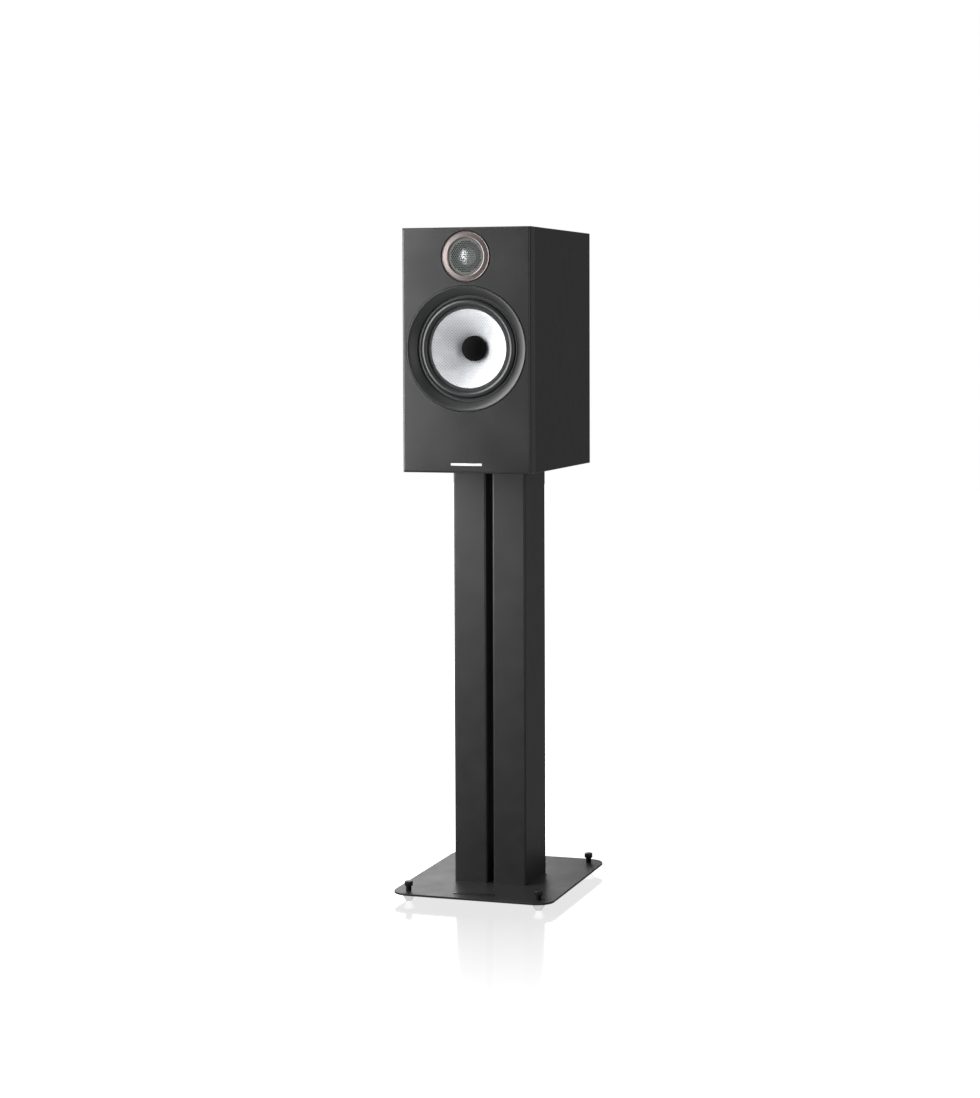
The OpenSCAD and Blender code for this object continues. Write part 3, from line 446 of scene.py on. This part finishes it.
def cellular(name, color, cell, depth, **sockets):
    """Open-cell foam: small dark pores in a dull, soft surface."""
    material, tree, shader = start_material(name, color, 0.95, **sockets)
    pores = add(tree, "TexVoronoi", {"Vector": measured(tree, cell), "Scale": 1})
    return textured(material, tree, shader, pores.outputs["Distance"], depth, shade=0.5)


def fibreboard(name, color):
    """Bare fibreboard: pressed fibres, pale and dark flecks, no gloss."""
    material, tree, shader = start_material(name, color, 0.85)
    fibres = add(
        tree, "TexNoise",
        {"Vector": measured(tree, 1.5, stretch=(1, 1, 5)), "Scale": 1, "Detail": 6, "Roughness": 0.7}
    )
    return textured(material, tree, shader, fibres.outputs["Fac"], 0.05, shade=0.3)


def wound(name, color, roughness, wire, axis, metallic=1.0):
    """Wire wound in even turns along an axis, or braided cloth over a lead."""
    material, tree, shader = start_material(name, color, roughness, metallic)
    turns = add(
        tree, "TexWave", {"Vector": measured(tree, wire), "Scale": math.pi / 10}, wave_type="BANDS",
        bands_direction=axis,
    )
    return textured(material, tree, shader, turns.outputs["Fac"], wire / 4, shade=0.35)


def two_tone(name, right, left, roughness):
    """Plastic sleeves in two colours, one on each side of the cabinet's middle."""
    material, tree, shader = start_material(name, right, roughness)
    side = add(tree, "SeparateXYZ", {0: measured(tree, 1)})
    factor = add(tree, "Math", {0: side.outputs["X"], 1: 0.0}, operation="LESS_THAN")
    mix = add(
        tree, "Mix", {FACTOR: factor.outputs[0], COLOR_A: (*right, 1), COLOR_B: (*left, 1)}, data_type="RGBA"
    )
    ripple = add(tree, "TexNoise", {"Vector": measured(tree, 3), "Scale": 1})
    textured(material, tree, shader, ripple.outputs["Fac"], 0.03)
    tree.links.new(mix.outputs[COLOR_OUT], shader.inputs["Base Color"])
    return material


def etched_board(name, resist, track):
    """Circuit board: copper tracks that show paler through the green resist."""
    material, tree, shader = start_material(name, resist, 0.35, Specular_IOR_Level=0.5)
    tracks = add(
        tree, "TexBrick", {"Vector": measured(tree, 9), "Scale": 1, "Mortar Size": 0.06, "Brick Width": 1.4,
                           "Row Height": 0.6, "Color1": (*resist, 1), "Color2": (*resist, 1),
                            "Mortar": (*track, 1)},
    )
    textured(material, tree, shader, tracks.outputs["Fac"], 0.03)
    tree.links.new(tracks.outputs["Color"], shader.inputs["Base Color"])
    return material


# ---- Pieces ----


class SPEAKER_OT_cabinet(bpy.types.Operator):
    """Finish the cabinet's boards, brace, foam and badge"""

    bl_idname = "speaker.cabinet"
    bl_label = "Cabinet"

    def execute(self, context):
        look = context.scene.speaker_cabinet
        wrap = mottled(
            "vinyl_wrap_pressed", look.wrap, look.wrap_roughness, look.wrap_grain, 0.03, 22,
            Specular_IOR_Level=0.45
        )
        coat(wrap, "cabinet_left_side", "cabinet_right_side", "cabinet_top", "cabinet_bottom", "rear_panel")
        paint = mottled("satin_lacquer_sprayed", look.paint, look.paint_roughness, 3.0, 0.004, 60)
        coat(paint, "front_baffle")
        coat(fibreboard("fibreboard_sawn", linear("#b3905f")), "window_brace")
        coat(cellular("polyurethane_foam_cut", linear("#63666b"), 2.2, 0.6), "damping_foam")
        plate = mottled("aluminium_satin_anodised", look.plate, 0.35, 0.8, 0.004, 12)
        fitted("baffle_badge", softened("front_badge", 0.1), plate, "front_badge")
        return {"FINISHED"}


class SPEAKER_OT_woofer_ring(bpy.types.Operator):
    """Make the woofer's flared trim ring"""

    bl_idname = "speaker.woofer_ring"
    bl_label = "Woofer trim ring"

    def execute(self, context):
        look = context.scene.speaker_woofer
        low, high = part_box("woofer_trim_ring")
        outer = high.x / MM
        front = (low.y - BAFFLE_FACE) / MM
        mouth = outer - 13
        lip_in = outer - look.lip_width
        flare = [
            (lip_in - 0.4 - (lip_in - mouth - 0.8) * t, 0.5 + 8.2 * t**look.flare_power)
            for t in [i / 32 for i in range(33)]
        ]
        outline = (
            flare
            + [(mouth, 9.3), (mouth, 11.3), (outer - 10.8, 11.3), (outer - 10.8, 12.2), (outer - 3.8, 12.2)]
            + [(outer - 3.8, 6.0), (outer, 6.0)]
            + arc(outer - 0.7, front + 0.7, 0.7, 0, -90, 8)
            + arc(lip_in + 0.4, front + 0.4, 0.4, 270, 180, 6)
        )
        plastic = moulded("abs_moulded_matt", look.moulding, 0.42, 1.2, 0.006)
        fitted("woofer_flare", turned(outline, WOOFER), plastic, "woofer_trim_ring")
        return {"FINISHED"}


class SPEAKER_OT_woofer_surround(bpy.types.Operator):
    """Make the rubber half roll between the cone and the trim ring"""

    bl_idname = "speaker.woofer_surround"
    bl_label = "Woofer surround"

    def execute(self, context):
        look = context.scene.speaker_woofer
        low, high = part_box("woofer_surround")
        outer = high.x / MM
        wall = 0.8
        roll_mid = (look.roll_outer + look.roll_inner) / 2
        roll_r = (look.roll_outer - look.roll_inner) / 2
        seat = (low.y - BAFFLE_FACE) / MM + roll_r
        flange = seat - wall
        bead_mid = look.roll_outer + look.bead + 0.6
        rib_step = (look.roll_inner - look.cone_edge - 1.2) / max(1, look.rib_count)
        ribs = []
        for i in range(look.rib_count):
            ribs += arc(look.cone_edge + 0.9 + rib_step * (i + 0.5), seat, look.rib, 180, 360, 6)
        outline = (
            [(look.cone_edge + 0.3, seat + wall - 0.05), (look.cone_edge + 0.3, seat)]
            + ribs
            + arc(roll_mid, seat, roll_r, 180, 360, 40)[0:-1]
            + [(look.roll_outer, flange + 0.3), (look.roll_outer + 0.3, flange)]
            + arc(bead_mid, flange, look.bead, 180, 360, 10)
            + [(outer, flange), (outer, seat), (look.roll_outer + 0.5, seat)]
            + arc(roll_mid, seat, roll_r - wall, 360, 180, 30)
            + [(look.roll_inner - wall, seat + wall - 0.05)]
        )
        rubber = moulded("butyl_rubber_moulded", look.rubber, 0.34, 1.5, 0.008)
        flexing(
            "woofer_half_roll", turned(outline, WOOFER), rubber, "woofer_surround", "woofer_moving", WOOFER,
            still_r=look.roll_outer, moving_r=look.roll_inner,
        )
        coat(rubber, "woofer_gasket")
        return {"FINISHED"}


class SPEAKER_OT_woofer_cone(bpy.types.Operator):
    """Make the woven cone and the ball-shaped plug in it"""

    bl_idname = "speaker.woofer_cone"
    bl_label = "Woofer cone and plug"

    def execute(self, context):
        look = context.scene.speaker_woofer
        low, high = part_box("woofer_cone")
        edge = (low.y - BAFFLE_FACE) / MM
        rim = high.x / MM
        neck_back = (high.y - BAFFLE_FACE) / MM
        wall = 1.2
        steps = [i / 56 for i in range(57)]
        face = [
            (look.cone_edge + (look.cone_neck - look.cone_edge) * t, edge + look.cone_depth * t**1.25)
            for t in steps
        ]
        inner_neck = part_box("woofer_voice_coil")[1].x / MM - 0.75
        outline = (
            [(rim, edge + 0.05), (rim, edge + 0.95)]
            + [(r, depth + wall) for r, depth in face]
            + [(inner_neck + 1, neck_back), (inner_neck, neck_back), (inner_neck, edge + look.cone_depth)]
            + face[:0:-1]
            + arc(look.cone_edge - 0.45, edge + 0.05, 0.45, 180, 360, 8)
        )
        cloth = woven(
            "aramid_cloth_woven_silvered", look.cone, look.cone_pits, 0.42, look.thread, 0.12, metallic=0.25,
            Sheen_Weight=0.2,
        )
        fitted("woofer_woven_cone", turned(outline, WOOFER), cloth, "woofer_cone")

        low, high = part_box("woofer_plug")
        ball_r = high.x / MM
        ball_mid = (low.y - BAFFLE_FACE) / MM + ball_r
        stem = ball_r - 2.3
        back = (high.y - BAFFLE_FACE) / MM
        outline = arc(0, ball_mid, ball_r, -90, 4, 40) + [(stem, ball_mid + 1.4), (stem, back), (0, back)]
        foam = cellular("foam_plug_moulded", look.foam, 1.3, 0.1, Specular_IOR_Level=0.15)
        fitted("woofer_ball_plug", turned(outline, WOOFER, closed=False), foam, "woofer_plug")
        return {"FINISHED"}


class SPEAKER_OT_woofer_motor(bpy.types.Operator):
    """Finish the woofer's chassis and motor, and make its spider and leads"""

    bl_idname = "speaker.woofer_motor"
    bl_label = "Woofer motor"

    def execute(self, context):
        low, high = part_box("woofer_spider")
        outer = high.x / MM
        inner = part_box("woofer_voice_coil")[1].x / MM - 0.8
        wave, cloth_t, pitch = 1.4, 0.8, 6
        depth = (low.y - BAFFLE_FACE) / MM + wave
        first, waves = inner + 2, 4
        turns = [i / (16 * waves) for i in range(16 * waves + 1)]
        front = [(first + waves * pitch * t, depth + wave * math.sin(math.tau * waves * t)) for t in turns]
        outline = [(inner, depth)] + front + [(outer, depth), (outer, depth + cloth_t)]
        outline += [(r, d + cloth_t) for r, d in reversed(front)] + [(inner, depth + cloth_t)]
        cloth = woven("cotton_cloth_resin_dipped", linear("#c99a3a"), linear("#6b4a12"), 0.7, 1.0, 0.1)
        flexing(
            "woofer_corrugated_spider", turned(outline, WOOFER), cloth,
            "woofer_spider", "woofer_moving", WOOFER,
            still_r=outer - 3.5, moving_r=inner + 1,
        )
        flexing(
            "woofer_flex_leads", softened("woofer_leads", 0.02),
            wound("tinsel_lead_braided", linear("#c8a878"), 0.5, 0.8, "Y"),
            "woofer_leads", "woofer_moving", WOOFER, still_r=outer - 1, moving_r=32,
        )
        coat(mottled("aluminium_die_cast_coated", linear("#303234"), 0.5, 2.0, 0.08, 12), "woofer_chassis")
        copper = wound("copper_wire_enamelled", linear("#b0672c"), 0.3, 0.4, "Y")
        coat(copper, "woofer_voice_coil", "tweeter_coil")
        steel = turned_metal("steel_turned_zinc_plated", linear("#a9abb0"), 0.35, 0.8, WOOFER)
        coat(steel, "woofer_top_plate", "woofer_yoke")
        coat(mottled("ferrite_sintered", linear("#2c2d30"), 0.55, 1.0, 0.05, 8), "woofer_magnet")
        return {"FINISHED"}


class SPEAKER_OT_tweeter(bpy.types.Operator):
    """Make the tweeter's trim ring and surround, and finish its mesh, dome and motor"""

    bl_idname = "speaker.tweeter"
    bl_label = "Tweeter"

    def execute(self, context):
        look = context.scene.speaker_tweeter
        low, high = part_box("tweeter_trim_ring")
        outer = high.x / MM
        front = (low.y - BAFFLE_FACE) / MM
        back = (high.y - BAFFLE_FACE) / MM
        mouth = outer - 9.3
        bevel = 1.2
        outline = [
            (mouth, back),
            (mouth, front + bevel),
            (mouth + 0.25, front + bevel - 0.35),
            (mouth + bevel, front + 0.12),
            (mouth + bevel + 0.35, front),
            (mouth + bevel + 0.8, front + 0.04),
            (outer - 1.5, front + look.ring_slope),
            (outer - 1.1, front + 0.06),
            (outer - 0.85, front),
            (outer - 0.45, front + 0.02),
            (outer, front + 0.5),
            (outer, back),
        ]
        ring = turned(outline, TWEETER)
        self.cut_notch(ring, mouth, bevel, look.notch_width)
        anodised = turned_metal("aluminium_turned_anodised", look.ring, 0.3, 0.9, TWEETER, 0.006)
        fitted("tweeter_anodised_ring", ring, anodised, "tweeter_trim_ring")

        enamel = moulded("steel_mesh_enamelled", look.mesh, 0.32, 0.6, 0.01, Specular_IOR_Level=0.6)
        coat(enamel, "tweeter_mesh")
        bright = turned_metal("aluminium_dome_drawn", look.dome, 0.42, 1.4, TWEETER, 0.002)
        coat(bright, "tweeter_dome")
        rubber = moulded("silicone_rubber_moulded", linear("#040404"), 0.6, 1.0, 0.01, Specular_IOR_Level=0.2)
        coat(rubber, "tweeter_decoupling_ring")
        body = moulded(
            "glass_filled_nylon_moulded", linear("#050505"), 0.6, 1.0, 0.02, Specular_IOR_Level=0.2
        )
        coat(body, "tweeter_body", "tweeter_tube")
        steel = turned_metal("steel_turned_nickel_plated", linear("#b9bbc0"), 0.3, 0.6, TWEETER)
        coat(steel, "tweeter_pole_piece", "tweeter_magnet", "tweeter_yoke")
        self.make_surround()
        return {"FINISHED"}

    def cut_notch(self, ring, mouth, bevel, width):
        """Drops the bevel's faces at 12 o'clock to the depth of the ring's seat."""
        for face in ring.faces:
            for vertex in face.verts:
                across = abs(vertex.co.x - TWEETER.x) / MM
                up = (vertex.co.z - TWEETER.z) / MM
                if across < width / 2 and 0 < up < mouth + bevel * 0.7:
                    vertex.co.y = max(vertex.co.y, TWEETER.y + 1.0 * MM)

    def make_surround(self):
        """The small cloth roll round the dome."""
        _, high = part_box("tweeter_surround")
        outer = high.x / MM
        dome_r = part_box("tweeter_dome")[1].x / MM
        seat = (high.y - BAFFLE_FACE) / MM
        wall = 0.4
        roll_out = outer - 1.7
        mid, roll = (dome_r + roll_out) / 2 + 0.1, (roll_out - dome_r) / 2 - 0.1
        outline = (
            [(dome_r + 0.02, seat)]
            + arc(mid, seat - wall, roll, 180, 360, 16)
            + [(outer, seat - wall), (outer, seat), (roll_out, seat)]
            + arc(mid, seat, roll - wall, 360, 180, 16)
        )
        cloth = woven("polyester_cloth_coated", linear("#1d1d1e"), linear("#0a0a0b"), 0.6, 0.8, 0.03)
        flexing(
            "tweeter_cloth_roll", turned(outline, TWEETER), cloth,
            "tweeter_surround", "tweeter_moving", TWEETER,
            still_r=roll_out, moving_r=dome_r + 0.1,
        )


class SPEAKER_OT_rear(bpy.types.Operator):
    """Finish the port, the terminal panel, its posts and the crossover"""

    bl_idname = "speaker.rear"
    bl_label = "Port, terminals and crossover"

    def execute(self, context):
        look = context.scene.speaker_terminals
        plastic = moulded("abs_moulded_textured", look.moulding, 0.5, 1.2, 0.02)
        coat(plastic, "port_tube")
        fitted("terminal_plate", softened("terminal_panel", look.edge), plastic, "terminal_panel")
        gilt = plated_metal("brass_gold_plated", look.gilt, 0.2)
        fitted("gilt_posts", softened("binding_posts", look.edge), gilt, "binding_posts")
        fitted("gilt_nuts", softened("post_nuts", look.edge), gilt, "post_nuts")
        knobs = {"red": ("acrylic_red_moulded", look.red), "black": ("acrylic_black_moulded", look.black)}
        for side, (name, color) in knobs.items():
            gloss = moulded(name, color, 0.14, 4.0, 0.004, Coat_Weight=0.4)
            washer, knob = f"{side}_post_washer", f"{side}_post_knob"
            fitted(f"{side}_gilt_washer", softened(washer, look.edge * 0.6), gilt, washer)
            fitted(f"{side}_fluted_knob", softened(knob, look.edge), gloss, knob)
        screws = plated_metal("steel_black_zinc_plated", linear("#3a3b3d"), 0.35)
        coat(screws, "panel_screws")
        board = etched_board("epoxy_glass_board_etched", linear("#1f4a30"), linear("#4f7a4a"))
        coat(board, "crossover_board")
        coat(wound("copper_coil_wound", linear("#b8692f"), 0.3, 1.0, "Z"), "crossover_coils")
        coat(moulded("polypropylene_sleeve_shrunk", linear("#b9a12f"), 0.3, 3.0), "crossover_capacitors")
        coat(moulded("ceramic_fired", linear("#dedcd2"), 0.7, 0.8, 0.05), "crossover_resistors")
        coat(two_tone("pvc_sleeve_extruded", linear("#a01c1c"), linear("#151515"), 0.4), "internal_wires")
        return {"FINISHED"}


class SPEAKER_OT_stand(bpy.types.Operator):
    """Finish the stand's plates, columns, badge and bolts"""

    bl_idname = "speaker.stand"
    bl_label = "Stand"

    def execute(self, context):
        look = context.scene.speaker_stand
        powder = mottled("steel_powder_coated", look.coat, look.coat_roughness, look.grain, 0.05, 30)
        coat(powder, "stand_column_left", "stand_column_right")
        for name, node in (("base_sheet", "stand_base_plate"), ("top_sheet", "stand_top_plate")):
            fitted(name, softened(node, look.edge), powder, node)
        blank = moulded("abs_badge_gloss", linear("#0b0b0c"), 0.3, 2.0, 0.004)
        fitted("base_badge", softened("stand_badge", 0.2), blank, "stand_badge")
        coat(plated_metal("steel_blackened", look.steel, 0.4), "stand_bolts")
        return {"FINISHED"}


class SPEAKER_OT_levellers(bpy.types.Operator):
    """Finish the four knurled screws and their polished feet"""

    bl_idname = "speaker.levellers"
    bl_label = "Levellers"

    def execute(self, context):
        look = context.scene.speaker_stand
        black = moulded("steel_enamelled_black", look.steel, 0.35, 0.7, 0.01)
        polished = plated_metal("steel_polished_chromed", look.foot, 0.1)
        for i in range(1, 5):
            screw, foot = f"leveller_screw_{i}", f"leveller_foot_{i}"
            fitted(f"knurled_screw_{i}", softened(screw, 0.2), black, screw)
            fitted(f"polished_foot_{i}", softened(foot, 0.3), polished, foot)
        return {"FINISHED"}


# ---- Studio ----


class SPEAKER_OT_studio(bpy.types.Operator):
    """Set up the pale floor, the soft lights and the camera"""

    bl_idname = "speaker.studio"
    bl_label = "Studio"

    def execute(self, context):
        look = context.scene.speaker_studio
        context.scene.view_settings.view_transform = "Standard"
        self.make_world(context.scene, look)
        floor = self.make_floor(look)
        self.make_lights(look, floor)
        self.make_camera(context.scene, look)
        return {"FINISHED"}

    def make_world(self, scene, look):
        """A dim room over a bright floor; the backdrop itself is white to the eye."""
        world = bpy.data.worlds.new("studio_room")
        scene.world = world
        world.use_nodes = True
        tree = world.node_tree
        tree.nodes.clear()
        place = add(tree, "TexCoord")
        axes = add(tree, "SeparateXYZ", {0: place.outputs["Generated"]})
        level = add(
            tree, "MapRange", {"Value": axes.outputs["Z"], "From Min": -0.75, "From Max": -0.35,
                               "To Min": look.bounce, "To Max": look.room},
        )
        eye = add(tree, "LightPath")
        seen = add(
            tree, "Math", {0: level.outputs["Result"], 1: eye.outputs["Is Camera Ray"]}, operation="MAXIMUM"
        )
        glow = add(tree, "Background", {"Color": (1, 1, 1, 1), "Strength": seen.outputs[0]})
        add(tree, "OutputWorld", {"Surface": glow.outputs[0]})

    def make_floor(self, look):
        """A glossy black sheet that glows white by itself instead of being lit, and mirrors the stand faintly; its
        glow is painted dimmer near the stand, where the reflection shows, and full white away from it, a painted
        fade of that reflection.
        """
        bm = bmesh.new()
        bmesh.ops.create_grid(bm, x_segments=1, y_segments=1, size=FLOOR_REACH)
        gloss, tree, shader = start_material(
            "glowing_floor_sheet", (0, 0, 0), 0.1, Emission_Color=(1, 1, 1, 1)
        )
        # Painted glow: dimmer near the middle, where the stand's reflection shows, and full white further out,
        # where it washes the reflection out
        away = add(tree, "VectorMath", {0: add(tree, "TexCoord").outputs["Object"]}, operation="LENGTH")
        glow = add(
            tree, "MapRange", {"Value": away.outputs["Value"], "From Min": look.washout_near,
                               "From Max": look.washout_far, "To Min": look.floor_glow, "To Max": FULL_WHITE},
        )
        tree.links.new(glow.outputs["Result"], shader.inputs["Emission Strength"])
        floor = show("floor", bm, gloss)
        floor.visible_diffuse = False
        floor.visible_glossy = False
        floor.visible_shadow = False
        return floor

    def make_light(self, name, place, aim, width, height, power):
        """A soft rectangular light that isn't seen itself."""
        data = bpy.data.lights.new(name, "AREA")
        data.shape = "RECTANGLE"
        data.size, data.size_y = width, height
        data.energy = power
        light = bpy.data.objects.new(name, data)
        bpy.context.scene.collection.objects.link(light)
        light.location = place
        light.rotation_euler = (Vector(aim) - Vector(place)).to_track_quat("-Z", "Y").to_euler()
        light.visible_camera = False
        return light

    def make_lights(self, look, floor):
        """A strip and a softbox at the left, panels at the right, behind and overhead, and the backdrop."""
        self.make_light("front_strip", (-0.69, -0.83, 1.0), (-0.1, -0.16, 0.85), 0.4, 1.35, look.strip)
        self.make_light("side_softbox", (-1.25, -0.42, 1.15), (0, -0.16, 0.85), 0.9, 1.4, look.key)
        self.make_light("fill_panel", (1.7, -1.3, 1.0), (0, 0, 0.8), 1.2, 1.6, look.fill)
        self.make_light("rear_panel_light", (-1.6, 2.6, 1.0), (0, 0, 0.2), 1.8, 1.4, look.rear)
        self.make_light("top_panel", (0, 0.3, 2.6), (0, 0, 0), 2.0, 2.0, look.top)
        only_floor = bpy.data.collections.new("floor_only")
        only_floor.objects.link(floor)
        reach, wide, tall = BACKDROP_REACH, 2 * BACKDROP_REACH, BACKDROP_REACH
        for i in range(4):
            angle = math.radians(90 * i)
            place = Vector((math.sin(angle) * reach, math.cos(angle) * reach, tall / 2))
            power = look.backdrop * math.pi * wide * tall
            glow = self.make_light(f"backdrop_{i + 1}", place, (0, 0, tall / 2), wide, tall, power)
            glow.light_linking.receiver_collection = only_floor

    def make_camera(self, scene, look):
        """A long lens to the right of the middle and a little below the cabinet's top."""
        data = bpy.data.cameras.new("camera")
        data.lens = look.lens
        data.sensor_width = 36
        data.shift_y = -0.075
        data.clip_end = 100
        camera = bpy.data.objects.new("camera", data)
        scene.collection.objects.link(camera)
        camera.location = (1.1031, -3.3837, 0.8243)
        pitch, roll, yaw = math.radians(-3.278), math.radians(0.207), math.radians(18.325)
        camera.rotation_euler = Euler((math.pi / 2 + pitch, roll, yaw), "XYZ")
        scene.camera = camera


class SPEAKER_PT_build(bpy.types.Panel):
    """Lists the steps that build the loudspeaker"""

    bl_label = "Loudspeaker"
    bl_space_type = "VIEW_3D"
    bl_region_type = "UI"
    bl_category = "Loudspeaker"

    def draw(self, context):
        for step in STEPS:
            self.layout.operator(step.bl_idname)
        for name in SETTINGS:
            box = self.layout.box()
            group = getattr(context.scene, name)
            for key in group.__annotations__:
                box.prop(group, key)


SETTINGS = {
    "speaker_cabinet": CabinetSettings,
    "speaker_woofer": WooferSettings,
    "speaker_tweeter": TweeterSettings,
    "speaker_terminals": TerminalSettings,
    "speaker_stand": StandSettings,
    "speaker_studio": StudioSettings,
}
STEPS = (
    SPEAKER_OT_cabinet,
    SPEAKER_OT_woofer_ring,
    SPEAKER_OT_woofer_surround,
    SPEAKER_OT_woofer_cone,
    SPEAKER_OT_woofer_motor,
    SPEAKER_OT_tweeter,
    SPEAKER_OT_rear,
    SPEAKER_OT_stand,
    SPEAKER_OT_levellers,
    SPEAKER_OT_studio,
)


def register():
    for group in SETTINGS.values():
        bpy.utils.register_class(group)
    for name, group in SETTINGS.items():
        setattr(bpy.types.Scene, name, PointerProperty(type=group))
    for step in STEPS:
        bpy.utils.register_class(step)
    bpy.utils.register_class(SPEAKER_PT_build)


def unregister():
    bpy.utils.unregister_class(SPEAKER_PT_build)
    for step in reversed(STEPS):
        bpy.utils.unregister_class(step)
    for name in SETTINGS:
        delattr(bpy.types.Scene, name)
    for group in SETTINGS.values():
        bpy.utils.unregister_class(group)


def main():
    """Builds everything in order."""
    register()
    for step in STEPS:
        family, action = step.bl_idname.split(".")
        getattr(getattr(bpy.ops, family), action)()


if __name__ == "__main__":
    main()
